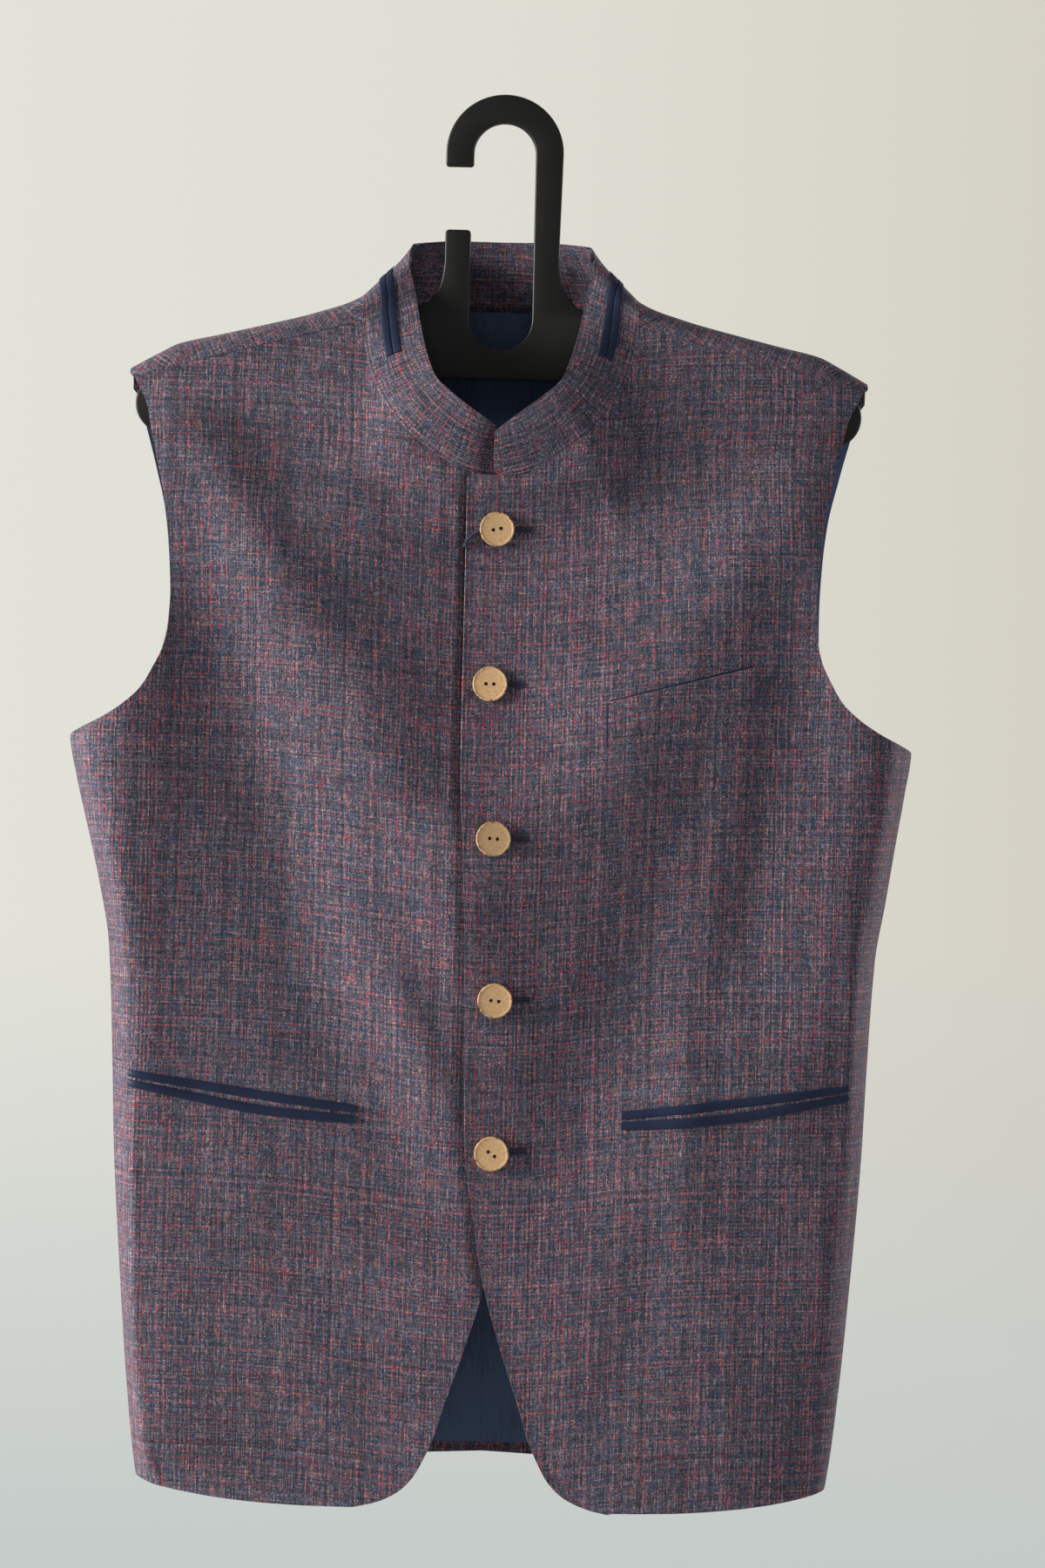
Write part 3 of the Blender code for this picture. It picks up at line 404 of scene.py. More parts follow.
# Lower pockets: the jets' outer edges by distance from the centre
POCKET = table(
    "x top_z upper_low_z lower_top_z bottom_z",
    (79, -590.5, -595.6, -596.6, -602),
    (106, -587, -592.4, -594.6, -600.3),
    (139, -582.5, -588, -591.3, -597.1),
    (172, -578, -583.3, -585.6, -591.2),
    (213, -572.5, -577, -578.1, -582.8),
)
POCKET_STRIPS = table(
    "name cut finish low high puff lift end_margin side_margin wall_share",
    ("jet_upper_", "jet", "binding", "upper_low_z", "top_z", 0.7, 0.4, 0, 0, 0.7),
    ("jet_lower_", "jet", "binding", "bottom_z", "lower_top_z", 0.7, 0.4, 0, 0, 0.7),
    (
        *("pocket_mouth_", "mouth", "suiting", "lower_top_z", "upper_low_z"),
        *(0, 0.2, 14.4, 0.1, LAID_WALL_SHARE),
    ),
    plain=("name", "cut", "finish", "low", "high", "wall_share"),
)

# Buttons, the turn of their holes, and the worked buttonhole's far end and turn, in degrees
BUTTONS = table(
    "x z turn work_end work_turn",
    (1, -248, 12, 21.5, 0),
    (-1, -340, 0, 21.5, 0),
    (1, -431, -4, 21.5, 0),
    (2.5, -526, -6, 21.5, 1),
    (2.5, -617, -35, 22, 4),
    plain=("turn", "work_turn"),
)
SLOPE_STEP = 0.0040

# Buttons: sides, and shares of radius for the rim, the slope, the foot and the soft edge, and of
# height for the dish, the foot and the thread's middle and end
BUTTON_SIDES = 64
HOLE_SIDES = 24
BUTTON_RIM_SHARE = 0.09
BUTTON_SLOPE_SHARE = 0.06
BUTTON_FOOT_SHARE = 0.16
BUTTON_SOFT_SHARE = 0.06
BUTTON_DISH_SHARE = 0.10
BUTTON_FOOT_HEIGHT_SHARE = 0.1
THREAD_RADIUS_SHARE = 0.8
THREAD_HEIGHT_SHARE = 0.30
THREAD_STRETCH = 1.3
ROD_HEIGHT_SHARE = 4.0
BUTTON_SOFT_ANGLE = math.radians(24)
BUTTON_SMOOTH_ANGLE = math.radians(35)

# Worked buttonholes, from under the button towards the wearer's left: two rows of stitches,
# uneven in length and in line by waves of a height and a rate along the hole
WORK_START = 0.0040
WORK_HEIGHT = 0.0040
STITCH_PITCH = 0.00036
STITCH_OVERLAP = 1.15
STITCH_PROUD = 0.00045
STITCH_FLOOR = -0.0002
STITCH_LIFT = 0.00012
STITCH_UNEVEN = ((0.12, 3100.0, 1.0), (0.08, 1270.0, 2.0))
STITCH_WANDER = (0.00012, 900.0)

# Loose thread beside the upper buttons, by distance from the centre and height
ThreadLoop = namedtuple("ThreadLoop", "name radius strands twists proud points")
LOOPS = (
    ThreadLoop(
        *("thread_loop_1", 0.00075, 2, 4.0, 0.0013),
        (
            (-0.0080, -0.2490),
            (-0.0110, -0.2500),
            (-0.0140, -0.2522),
            (-0.0165, -0.2550),
            (-0.0180, -0.2585),
        ),
    ),
    ThreadLoop(
        *("thread_loop_2", 0.00035, 1, 0.0, 0.0006),
        ((-0.0095, -0.3440), (-0.0130, -0.3452), (-0.0152, -0.3480)),
    ),
)
LOOP_STEPS = 60
LOOP_ROUNDS = 6
STRAND_OFFSET_SHARE = 0.8
STRAND_RISE_SHARE = 0.3

# Studio
JACKET_MIDDLE = Vector((0.0, 0.0, -0.420))
FLOOR_Z = -1.600
FLOOR_RADIUS = 1.500
ROOM_TONES = ((0.0, "#e3e3db"), (0.5, "#dfddd3"), (1.0, "#d2cec4"))
ROOM_TONES_REACH = 0.16
ROOM_LOW_TONE = "#c3cac8"
ROOM_LOW_START = -0.04
ROOM_LOW_END = -0.20
Lamp = namedtuple("Lamp", "name place size tone")
LAMPS = (
    Lamp("key", (-6.2, -1.60, 0.5), (2.2, 2.6), "#fffdf6"),
    Lamp("fill", (2.6, -1.2, -0.3), (1.2, 1.2), "#f6f8ff"),
    Lamp("back", (3.0, 2.2, 0.4), (1.6, 1.6), "#fffdf6"),
)

# Hanger plate
HOOK_CENTRE = Vector((0.0005, -0.0185))
HOOK_INNER_RADIUS = 0.0185
HOOK_OUTER_RADIUS = 0.0355
HOOK_TIP_DROP = 0.0080
HOOK_TIP_ROUND = 0.0020
HOOK_STEPS = 48
STUB_TOP_Z = -0.0650
STUB_ROUND = 0.0025
SLOT_HALF_WIDTH = 0.0190
SLOT_TOP_Z = -0.0500
SLOT_BOTTOM_Z = -0.1370
SLOT_STEPS = 32
CORNER_STEPS = 6
SHANK_OUTER_X = 0.0345
ARM_TOP_DROP = 0.0039
ARM_TOP_STEPS = 24
ARM_TOP_START_X = 0.0850
ARM_TOP_START_DROP = 0.0008
ARM_TOP_END_SHARE = 0.8
ARM_END_X = 0.2190
ARM_END_RADIUS = 0.0180
ARM_END_CENTRE_Z = -0.1735
ARM_END_STEPS = 16
ARM_UNDERSIDE = [(0.1200, -0.1755), (0.0390, -0.1550)]
SHANK_FLARE = (
    (0.0345, -0.0850),
    (0.0358, -0.0975),
    (0.0405, -0.1060),
    (0.0480, -0.1125),
    (0.0600, -0.1155),
    (0.0720, -0.1145),
)
SHANK_FLARE_STEPS = 20
SHANK_FLARE_ROUNDS = 4
HANGER_MERGE_DISTANCE = 0.00002
HANGER_SMOOTH_ANGLE = math.radians(40)

# Flat size of each cut piece as far as it shows, in metres, and its area in square metres
Cut = namedtuple("Cut", "width length area")
CUTS = {
    "front": Cut(0.300, 0.715, 0.1560),
    "back": Cut(0.540, 0.745, 0.3150),
    "lining": Cut(0.270, 0.695, 0.1500),
    "collar": Cut(0.036, 0.460, 0.0145),
    "piping": Cut(0.010, 0.080, 0.00030),
    "welt": Cut(0.026, 0.091, 0.0023),
    "welt_lining": Cut(0.012, 0.087, 0.00104),
    "jet": Cut(0.010, 0.135, 0.00075),
    "mouth": Cut(0.010, 0.108, 0.00033),
}

# ---------------------------------------------------------------- settings


def size(name, description, default, unit="LENGTH"):
    return FloatProperty(name=name, description=description, default=default, precision=5, unit=unit)


def tone(name, description, default):
    return StringProperty(name=name, description=description, default=default)


class JacketClothSettings(bpy.types.PropertyGroup):
    """Walls and weave of the jacket's cloth."""

    front_wall: size("Front wall", "Front with its facing and interlining", 0.0020)
    back_wall: size("Back wall", "Back cloth", 0.0015)
    lining_wall: size("Lining wall", "Back lining", 0.0006)
    collar_wall: size("Collar wall", "Stiffened collar", 0.0030)
    welt_wall: size("Welt wall", "Chest welt", 0.0012)
    trim_wall: size("Trim wall", "Jets and pipings", 0.0010)
    laid_gap: size("Laid gap", "Air between a front and what lies on it", 0.0004)
    closing_round: size("Closing edge round", "Radius of the turned closing edge", 0.0005)
    edge_round: size("Edge round", "Rounding of a sheet's edges", 0.0006)
    thread_pitch: size("Thread pitch", "Spacing of the suiting's threads, a fifth coarse", 0.00054)
    ground_dark: tone("Ground, dark", "Darkest warp and weft", "#303945")
    ground: tone("Ground", "Slate navy warp and weft", "#435067")
    mauve: tone("Mauve", "Mauve grey slubs", "#6e5b6a")
    beige: tone("Beige", "Warm grey and beige slubs", "#927d76")
    rose: tone("Rose", "Dusty rose slubs", "#ae5668")
    red: tone("Red", "Red slubs", "#b4303f")
    # The lining's tone is lightened with painted light, to make up for the light that doesn't reach the
    # lining inside the jacket
    satin: tone("Lining satin", "Navy satin of the lining", "#4d5f82")
    binding: tone("Binding satin", "Navy satin of jets and pipings", "#1f2840")
    thread: tone("Thread", "Navy buttonhole thread", "#2a294e")


class JacketHardSettings(bpy.types.PropertyGroup):
    """Buttons and hanger."""

    button_radius: size("Button radius", "Outside", 0.0102)
    button_height: size("Button height", "At its rim", 0.0029)
    button_stand: size("Button stand", "Thread shank under a button", 0.0007)
    hole_radius: size("Hole radius", "Thread hole", 0.0011)
    hole_spacing: size("Hole spacing", "Between centres", 0.0046)
    shell: tone("Shell", "Coconut shell, polished face", "#dab285")
    shell_dark: tone("Shell, dark", "Husk left at the rim", "#6a4527")
    plate_thickness: size("Plate", "Hanger's thickness", 0.0080)
    plate_round: size("Plate round", "Hanger's edge", 0.0010)
    plastic: tone("Plastic", "Moulded hanger", "#0f0f10")


class JacketStudioSettings(bpy.types.PropertyGroup):
    """Camera, lights and floor."""

    camera_x: size("Camera x", "Across", 0.01956)
    camera_y: size("Camera y", "In front", -2.4)
    camera_z: size("Camera z", "Up", -0.39837)
    camera_roll: size("Roll", "Camera's tilt", math.radians(1.3), "ROTATION")
    lens_mm: size("Lens", "On a 24 mm high frame", 60.836, "CAMERA")
    wall_tone: tone("Wall", "Pale room behind the jacket", "#e4e4dc")
    floor_tone: tone("Floor", "Pale floor far below", "#d9d8d2")
    room_light: size("Room light", "Share of the walls' light", 0.22, "NONE")
    key_power: size("Key light", "Soft light from the left", 830.0, "NONE")
    fill_power: size("Fill light", "Weak light from the right", 20.0, "NONE")
    back_power: size("Back light", "Soft light on the back", 70.0, "NONE")


# ---------------------------------------------------------------- shape of the body


def value_at(rows, at, column):
    """Column of a table at places on its first column, smooth and with no overshoot."""
    rows = sorted(rows)
    keys = np.array([row[0] for row in rows], dtype=float)
    values = np.array([getattr(row, column) for row in rows], dtype=float)
    at = np.clip(np.asarray(at, dtype=float), keys[0], keys[-1])
    steps = np.diff(values) / np.diff(keys)
    before, after = steps[:-1], steps[1:]
    agree = before * after > 0
    total = np.where(agree, before + after, 1.0)
    middle = np.where(agree, 2.0 * before * after / total, 0.0)
    slopes = np.concatenate(([steps[0]], middle, [steps[-1]]))
    i = np.clip(np.searchsorted(keys, at, side="right") - 1, 0, len(keys) - 2)
    span = keys[i + 1] - keys[i]
    t = (at - keys[i]) / span
    start = (1 + 2 * t) * (1 - t) ** 2 * values[i] + t * (1 - t) ** 2 * span * slopes[i]
    end = t * t * (3 - 2 * t) * values[i + 1] - t * t * (1 - t) * span * slopes[i + 1]
    return start + end


def values_at(rows, at, *columns):
    return [value_at(rows, at, column) for column in columns]


def ease(t):
    """Soft step from 0 to 1 as t goes from 0 to 1."""
    t = np.clip(t, 0.0, 1.0)
    return t * t * (3.0 - 2.0 * t)


def between(start, end, share):
    return start + (end - start) * share


def arch(v):
    """Round-topped strip: 0 at its edges, 1 along its middle."""
    return np.sqrt(np.maximum(1.0 - (2.0 * v - 1.0) ** 2, 0.0))


def to_side(side, points):
    """Points of the wearer-left half, mirrored for the right."""
    if side == "right":
        points[:, 0] = -points[:, 0]
    return points


def hang(z):
    """How far the hanging jacket has moved to the wearer's left at a height."""
    return HANG_SHIFT * ease((HANG_START_Z - z) / HANG_LENGTH)


def ridge_z(x):
    return value_at(SHOULDER_RIDGE, np.abs(x), "z")


def depth(x, z, face, inset=0.0):
    """Depth of the body's cloth from the middle plane, on one face ("front" or "back")."""
    half_width, full = values_at(BODY_LEVELS, z, "half_width", face + "_depth")
    across = np.clip(np.abs(x) / (half_width - inset), 0.0, 1.0)
    share = (1.0 - across**SECTION_POWER) ** (1.0 / SECTION_POWER)
    below = ridge_z(x) - z
    fall = between(AT_RIDGE[face], 1.0, ease(below / SHOULDER_FALL))
    turn = 1.0 - np.clip(below / SHOULDER_ROUND, 0.0, 1.0)
    return full * share * fall * np.sqrt(1.0 - turn * turn)


def creases(x, z, crease_table):
    """Height of the creases and of the cloth's unevenness, faded out at side and shoulder seams."""
    height = np.zeros_like(x)
    for crease in crease_table:
        along = Vector((crease.x1 - crease.x0, crease.z1 - crease.z0))
        s = ((x - crease.x0) * along.x + (z - crease.z0) * along.y) / along.length**2
        off = ((x - crease.x0) * -along.y + (z - crease.z0) * along.x) / along.length
        inside = np.clip(s, 0.0, 1.0)
        off = off - crease.bow * 4.0 * inside * (1.0 - inside)
        width = np.where(off < 0, crease.width_right, crease.width_left)
        fade = ease(s / crease.start) * ease((1.0 - s) / crease.end)
        height = height + crease.height * np.exp(-((off / width) ** 2)) * fade
    for wave in WAVES:
        turn = 2 * math.pi * (x / wave.across + z / wave.along) + wave.turn
        height = height + wave.height * np.sin(turn)
    half_width = value_at(BODY_LEVELS, z, "half_width")
    side_fade = ease((half_width - np.abs(x)) / FOLD_EDGE_MARGIN)
    top_fade = ease((ridge_z(x) - z - SHOULDER_ROUND) / FOLD_TOP_MARGIN)
    return height * side_fade * top_fade


def front_y(x, z, side):
    """Depth coordinate of a front's outer face, before the hanging shift."""
    from_neck = np.hypot(x / NECK_HALF_WIDTH, np.minimum(z - NECK_LEVEL_Z, 0.0) / NECK_DEPTH) - 1.0
    out = depth(x, z, "front") + creases(x, z, FRONT_CREASES) * ease(from_neck / FOLD_NECK_SHARE)
    from_edge = (x - value_at(CLOSING_EDGE, z, "x")) / CLOSING_WIDTH
    if side == "right":
        out = out - OVERLAP_DROP * ease((x - OVERLAP_START_X) / OVERLAP_BLEND)
        out = out - CLOSING_TUCK * ease(from_edge + 1.0)
    else:
        out = out + CLOSING_PROUD * ease(1.0 - from_edge)
    return -(out + SEAM_GAP / 2)


def spread(u, rows_up):
    """Share of a row's width at u: points crowd towards the side seam, less so above the underarm."""
    crowded = 1.0 - EVEN_OUT_SHARE * ease(rows_up / EVEN_OUT_ROWS)
    return between(u, np.sin(u * math.pi / 2), crowded)


def front_point(u, row, side):
    """Points of a front's outer face; u runs from the closing edge to the side."""
    inner_x, inner_z, outer_z = values_at(FRONT_ROWS, row, "inner_x", "inner_z", "outer_z")
    side_x = value_at(BODY_LEVELS, outer_z, "half_width")
    armhole_x = value_at(ARMHOLE, outer_z, "front_x")
    outer_x = np.where(row <= UNDERARM_ROW_FRONT, side_x, armhole_x)
    t = spread(u, row - UNDERARM_ROW_FRONT)
    x = between(inner_x, outer_x, t)
    bow = between(1.0, HEM_BOW, ease(1.0 - row / HEM_BOW_ROWS))
    z = between(inner_z, outer_z, t**bow)
    if side == "right":
        x = -x
    return np.stack((x + hang(z), front_y(x, z, side), z), axis=1)


def turned_point(u, row):
    """Points of the back where it runs over the shoulder to the seam in front."""
    last_x = between(SEAM_INNER.x, SEAM_OUTER.x, u)
    last_z = between(SEAM_INNER.y, SEAM_OUTER.y, u)
    last_y = -depth(last_x, last_z, "front") - SEAM_GAP / 2
    past = TURN_ROWS[-1].row
    capped = np.minimum(row, past)
    inner_x, inner_turn, outer_turn = values_at(TURN_ROWS, capped, "inner_x", "inner_turn", "outer_turn")
    x = between(inner_x, ARMHOLE[-1].back_x, u)
    turn = np.radians(between(inner_turn, outer_turn, u))
    top = ridge_z(np.maximum(x, SEAM_INNER.x))
    z = top - SHOULDER_ROUND * (1.0 - np.cos(turn))
    behind = depth(x, top - SHOULDER_ROUND, "back")
    ahead = depth(x, top - SHOULDER_ROUND, "front") + SEAM_GAP / 2
    y = np.sin(turn) * np.where(turn > 0, behind, ahead)
    t = np.clip(row - past, 0.0, 1.0)
    return np.stack((between(x, last_x, t), between(y, last_y, t), between(z, last_z, t)), axis=1)


def back_point(u, row, side, lining=False):
    """Points of half the back, or of its lining; u runs from the centre to the side."""
    flat_row = np.minimum(row, BACK_LAST_ROW)
    rows_up = flat_row - UNDERARM_ROW_BACK
    inner_x, inner_z, outer_z = values_at(BACK_ROWS, flat_row, "inner_x", "inner_z", "outer_z")
    side_x = value_at(BODY_LEVELS, outer_z, "half_width")
    armhole_x = value_at(ARMHOLE, outer_z, "back_x")
    outer_x = np.where(row <= UNDERARM_ROW_BACK, side_x, armhole_x)
    if lining:
        in_armhole = ease(rows_up / LINING_INSET_ROWS)
        outer_x = outer_x - between(LINING_SIDE_INSET, LINING_ARMHOLE_INSET, in_armhole)
        inner_x = inner_x + SEAM_GAP / 4
        shorter = 1.0 - np.clip(row, 0.0, 1.0)
        inner_z = inner_z + (LINING_HEM_Z - BACK_ROWS[0].inner_z) * shorter
        outer_z = outer_z + (LINING_HEM_Z - BACK_ROWS[0].outer_z) * shorter
        inner_z = inner_z - LINING_TOP_DROP * ease((row - UNDERARM_ROW_BACK) / LINING_DROP_ROWS_MIDDLE)
        near_top = (row - BACK_LAST_ROW) / LINING_DROP_ROWS_ARMHOLE + 1.0
        outer_z = outer_z - LINING_TOP_DROP * ease(near_top)
    t = spread(u, rows_up)
    x = between(inner_x, outer_x, t)
    z = between(inner_z, outer_z, t)
    mirrored = -x if side == "right" else x
    y = depth(mirrored, z, "back", LINING_SIDE_INSET if lining else 0.0)
    y = y + creases(mirrored, z, BACK_CREASES) + SEAM_GAP / 2
    if lining:
        from_side = value_at(BODY_LEVELS, z, "half_width") - LINING_SIDE_INSET - x
        y = np.maximum(y - LINING_BEHIND * ease(from_side / LINING_SIDE_INSET), SEAM_GAP)
    points = np.stack((x, y, z), axis=1)
    if not lining:
        turned = turned_point(t, np.maximum(row, BACK_LAST_ROW + 1))
        points = between(points, turned, np.clip(row - BACK_LAST_ROW, 0.0, 1.0)[:, None])
    points = to_side(side, points)
    points[:, 0] += hang(points[:, 2])
    return points


def collar_edges(course):
    """Lower and upper edge points of the collar's wearer-left half."""
    inner = np.zeros_like(course)
    ahead = front_point(inner, np.minimum(course, FRONT_LAST_ROW), "left")
    back_row = FRONT_LAST_ROW + TURN_LAST_ROW - np.maximum(course, FRONT_LAST_ROW)
    behind = back_point(inner, back_row, "left")
    low = np.where((course <= FRONT_LAST_ROW)[:, None], ahead, behind)
    return low, np.stack(values_at(COLLAR_STOPS, course, "up_x", "up_y", "up_z"), axis=1)


def collar_point(course, rise, side, lift=0.0):
    """Points of the collar's outer face; rise runs from the lower to the upper edge."""
    low, up = collar_edges(course)
    across = up - low
    low = low + across / np.linalg.norm(across, axis=1, keepdims=True) * -COLLAR_TUCK
    ahead, _ = collar_edges(np.minimum(course + COURSE_STEP, COLLAR_CENTRE_BACK))
    behind, _ = collar_edges(np.maximum(course - COURSE_STEP, COLLAR_START))
    outward = np.cross(ahead - behind, across)
    outward = outward / np.linalg.norm(outward, axis=1, keepdims=True)
    bulge = COLLAR_BULGE * np.sin(rise * math.pi)
    return to_side(side, between(low, up, rise[:, None]) + outward * (bulge + lift)[:, None])


def collar_ring(u, v):
    """The whole collar, from its over end on the wearer's left around to its under end."""
    left = u <= 0.5
    course = row_at(COLLAR_GRID, 1.0 - np.abs(2.0 * u - 1.0))
    points = np.where(left[:, None], collar_point(course, v, "left"), collar_point(course, v, "right"))
    from_end = course - COLLAR_START
    near = 1.0 - ease(from_end)
    points[:, 0] = points[:, 0] + np.where(left, COLLAR_OVER_EDGE, COLLAR_UNDER_EDGE) * near
    tucked = COLLAR_UNDER_DROP * near + COLLAR_UNDER_TUCK * (1.0 - ease(from_end / COLLAR_TUCK_COURSE))
    points[:, 1] = points[:, 1] + np.where(left, -COLLAR_OVER_LIFT * near, tucked)
    in_corner = np.clip(1.0 - v / COLLAR_CORNER_SHARE, 0.0, 1.0)
    at_end = 1.0 - ease(from_end / COLLAR_CORNER_COURSE)
    rounded = COLLAR_CORNER_ROUND * (1.0 - np.sqrt(1.0 - in_corner**2)) * at_end
    points[:, 0] = points[:, 0] + np.where(left, rounded, 0.0)
    return points


def on_front(x, z, side, lift):
    """Points in front of a front's face, lift away from it; x is a distance from the centre."""
    x = -x if side == "right" else x
    step = SLOPE_STEP
    slope_x = (front_y(x + step, z, side) - front_y(x - step, z, side)) / (2.0 * step)
    slope_z = (front_y(x, z + step, side) - front_y(x, z - step, side)) / (2.0 * step)
    out = lift / np.sqrt(1.0 + slope_x**2 + slope_z**2)
    return np.stack((x + hang(z) + slope_x * out, front_y(x, z, side) - out, z + slope_z * out), axis=1)


def on_welt(u, v, lift, run=0.0):
    """Points over the chest welt: u along its slope, v up its upright ends, run sideways."""
    x = WELT_INNER.x + WELT_ALONG.x * u + run
    return on_front(x, WELT_INNER.y + WELT_ALONG.y * u + WELT_RISE * (v - 0.5), "left", lift)


# ---------------------------------------------------------------- making helpers


def select_only(*things):
    """Selects these objects alone, the first one active."""
    bpy.ops.object.select_all(action="DESELECT")
    for thing in things:
        thing.select_set(True)
    bpy.context.view_layer.objects.active = things[0]
    return things[0]


def rename(thing, name):
    thing.name = name
    thing.data.name = name
    return thing


def add_object(name, data):
    thing = bpy.data.objects.new(name, data)
    bpy.context.scene.collection.objects.link(thing)
    return thing


def add_primitive(name, made_by, **settings):
    """Adds one primitive, with nothing else selected, and names it."""
    bpy.ops.object.select_all(action="DESELECT")
    made_by(**settings)
    return rename(bpy.context.active_object, name)


def apply_modifier(thing, kind, **settings):
    modifier = thing.modifiers.new("finish", kind)
    for name, value in settings.items():
        setattr(modifier, name, value)
    select_only(thing)
    bpy.ops.object.modifier_apply(modifier=modifier.name)


def move_points(thing, place):
    """Sends every point of a piece to place(x, y, z), given and returned as arrays."""
    mesh = thing.data
    flat = np.empty(len(mesh.vertices) * 3)
    mesh.vertices.foreach_get("co", flat)
    points = place(*flat.reshape(-1, 3).T)
    mesh.vertices.foreach_set("co", np.ascontiguousarray(points).ravel())
    mesh.update()
    return points


def set_uv(mesh, name, places):
    """Gives a mesh one UV map, from a place for each of its points."""
    for layer in list(mesh.uv_layers):
        mesh.uv_layers.remove(layer)
    corners = np.empty(len(mesh.loops), dtype=np.int32)
    mesh.loops.foreach_get("vertex_index", corners)
    mesh.uv_layers.new(name=name).data.foreach_set("uv", np.ascontiguousarray(places[corners]).ravel())


def pick_faces(thing, way):
    """Selects the faces that look up (way 1) or down (way -1), and enters edit mode."""
    bpy.ops.object.mode_set(mode="EDIT")
    bpy.ops.mesh.select_mode(type="FACE")
    bpy.ops.mesh.select_all(action="DESELECT")
    bpy.ops.object.mode_set(mode="OBJECT")
    for face in thing.data.polygons:
        face.select = face.normal.z * way > 0.9
    bpy.ops.object.mode_set(mode="EDIT")


def join_pieces(name, things):
    """Joins pieces into the first one."""
    select_only(*things)
    bpy.ops.object.join()
    return rename(things[0], name)


def copy_of(thing, name):
    """A copy with a mesh of its own."""
    return rename(add_object(name, thing.data.copy()), name)


def mesh_from_curve(name, points, cyclic, **settings):
    """Mesh of a curve drawn straight from point to point."""
    curve = bpy.data.curves.new(name, "CURVE")
    for setting, value in settings.items():
        setattr(curve, setting, value)
    spline = curve.splines.new("POLY")
    spline.points.add(len(points) - 1)
    for point, place in zip(spline.points, points):
        point.co = (*place, 1.0)
    spline.use_cyclic_u = cyclic
    select_only(add_object(name, curve))
    bpy.ops.object.convert(target="MESH")
    return rename(bpy.context.active_object, name)


def smooth_line(points, count, rounds):
    """Points spread evenly along a line of a few points, its corners evened out."""
    at = np.linspace(0.0, len(points) - 1.0, count)
    line = np.stack([np.interp(at, range(len(points)), values) for values in zip(*points)], axis=1)
    for _ in range(rounds):
        line[1:-1] = (line[:-2] + 2.0 * line[1:-1] + line[2:]) / 4.0
    return line


def arc(centre, radius, start, end, steps):
    """Points of an arc, angles in degrees from +X towards +Z."""
    turns = [math.radians(start + (end - start) * step / steps) for step in range(steps + 1)]
    return [(centre[0] + radius * math.cos(turn), centre[1] + radius * math.sin(turn)) for turn in turns]


# ---------------------------------------------------------------- sheets


def row_at(rows, v):
    """Row of a grid whose points are numbered evenly by v."""
    return np.interp(v * (len(rows) - 1), range(len(rows)), rows)


# Mid-front the weft sags by this much
WEFT_SAG = 0.0130
WEFT_SAG_HALF_WIDTH = 0.0900

# Where the collar's and the pockets' own cloth is cut from the weave
COLLAR_WEAVE_SHIFT = (0.5, 0.2)
POCKET_WEAVE_SHIFT = (1.1, 0.4)

# Cut edges are rounded by up to this share of the wall, where faces meet at this angle or more
EDGE_WALL_SHARE = 0.45
EDGE_ANGLE = math.radians(55)
HALVES_MERGE_DISTANCE = 0.00001


def grain_upright(points):
    """Weave places on an upright panel: unrolled distance across, height along, with the weft's sag."""
    across = np.linalg.norm(np.diff(points[:, :, :2], axis=1), axis=2)
    way = np.sign(points[:, -1, 0] - points[:, 0, 0])[:, None]
    unrolled = np.cumsum(np.concatenate((np.zeros((len(points), 1)), across), axis=1), axis=1)
    sag = WEFT_SAG * np.exp(-((points[:, :, 0] / WEFT_SAG_HALF_WIDTH) ** 2))
    return np.stack((points[:, :1, 0] + unrolled * way, points[:, :, 2] + sag), axis=2)


def grain_over_shoulder(points):
    """As an upright panel, and unfolded about the shoulder's top line where the cloth comes over it."""
    flat = grain_upright(points)
    x, y, z = np.moveaxis(points, 2, 0)
    outside = np.maximum(np.abs(x), SEAM_INNER.x)
    top = ridge_z(outside)
    fall = (top - ridge_z(outside + SLOPE_STEP)) / SLOPE_STEP
    lean = 1.0 / np.sqrt(1.0 + fall**2)
    below = np.where(y < 0, np.maximum(top - z, 0.0) * lean * 2.0, 0.0)
    steps = np.diff(points, axis=0)
    level = np.hypot(steps[:, :, 1], steps[:, :, 2]) - np.abs(steps[:, :, 2])
    level = np.where((top - z)[1:] < SHOULDER_ROUND * 1.5, level, 0.0)
    over_top = np.concatenate((np.zeros((1, level.shape[1])), np.cumsum(level, axis=0)))
    return flat + np.stack((np.sign(x) * below * fall * lean, below * lean + over_top), axis=2)


def grain_along(points):
    """Weave places on a strip: distance along its middle row, distance across it."""
    steps = np.linalg.norm(np.diff(points[len(points) // 2], axis=0), axis=1)
    along = np.concatenate(([0.0], np.cumsum(steps)))
    rises = np.linalg.norm(np.diff(points, axis=0), axis=2)
    across = np.concatenate((np.zeros((1, points.shape[1])), np.cumsum(rises, axis=0)))
    return np.stack((np.broadcast_to(along, across.shape), across), axis=2)


def make_sheet(name, steps, place, grain, flip, shift=(0.0, 0.0)):
    """Sheet made from a grid primitive; place(u, v) gives its points, grain their weave places."""
    columns, rows = steps
    grid = bpy.ops.mesh.primitive_grid_add
    sheet = add_primitive(name, grid, x_subdivisions=columns, y_subdivisions=rows, size=2.0)
    points = move_points(sheet, lambda x, y, z: place((x + 1.0) / 2.0, (y + 1.0) / 2.0))
    weave = grain(points.reshape(rows + 1, columns + 1, 3)).reshape(-1, 2) + np.array(shift)
    set_uv(sheet.data, "weave", weave)
    if flip:
        sheet.data.flip_normals()
    sheet.data.shade_smooth()
    return sheet


def join_halves(name, halves):
    """One sheet from two halves that share their centre points."""
    merged = bmesh.new()
    for half in halves:
        merged.from_mesh(half.data)
        bpy.data.objects.remove(half, do_unlink=True)
    bmesh.ops.remove_doubles(merged, verts=merged.verts, dist=HALVES_MERGE_DISTANCE)
    mesh = bpy.data.meshes.new(name)
    merged.to_mesh(mesh)
    merged.free()
    mesh.shade_smooth()
    return add_object(name, mesh)


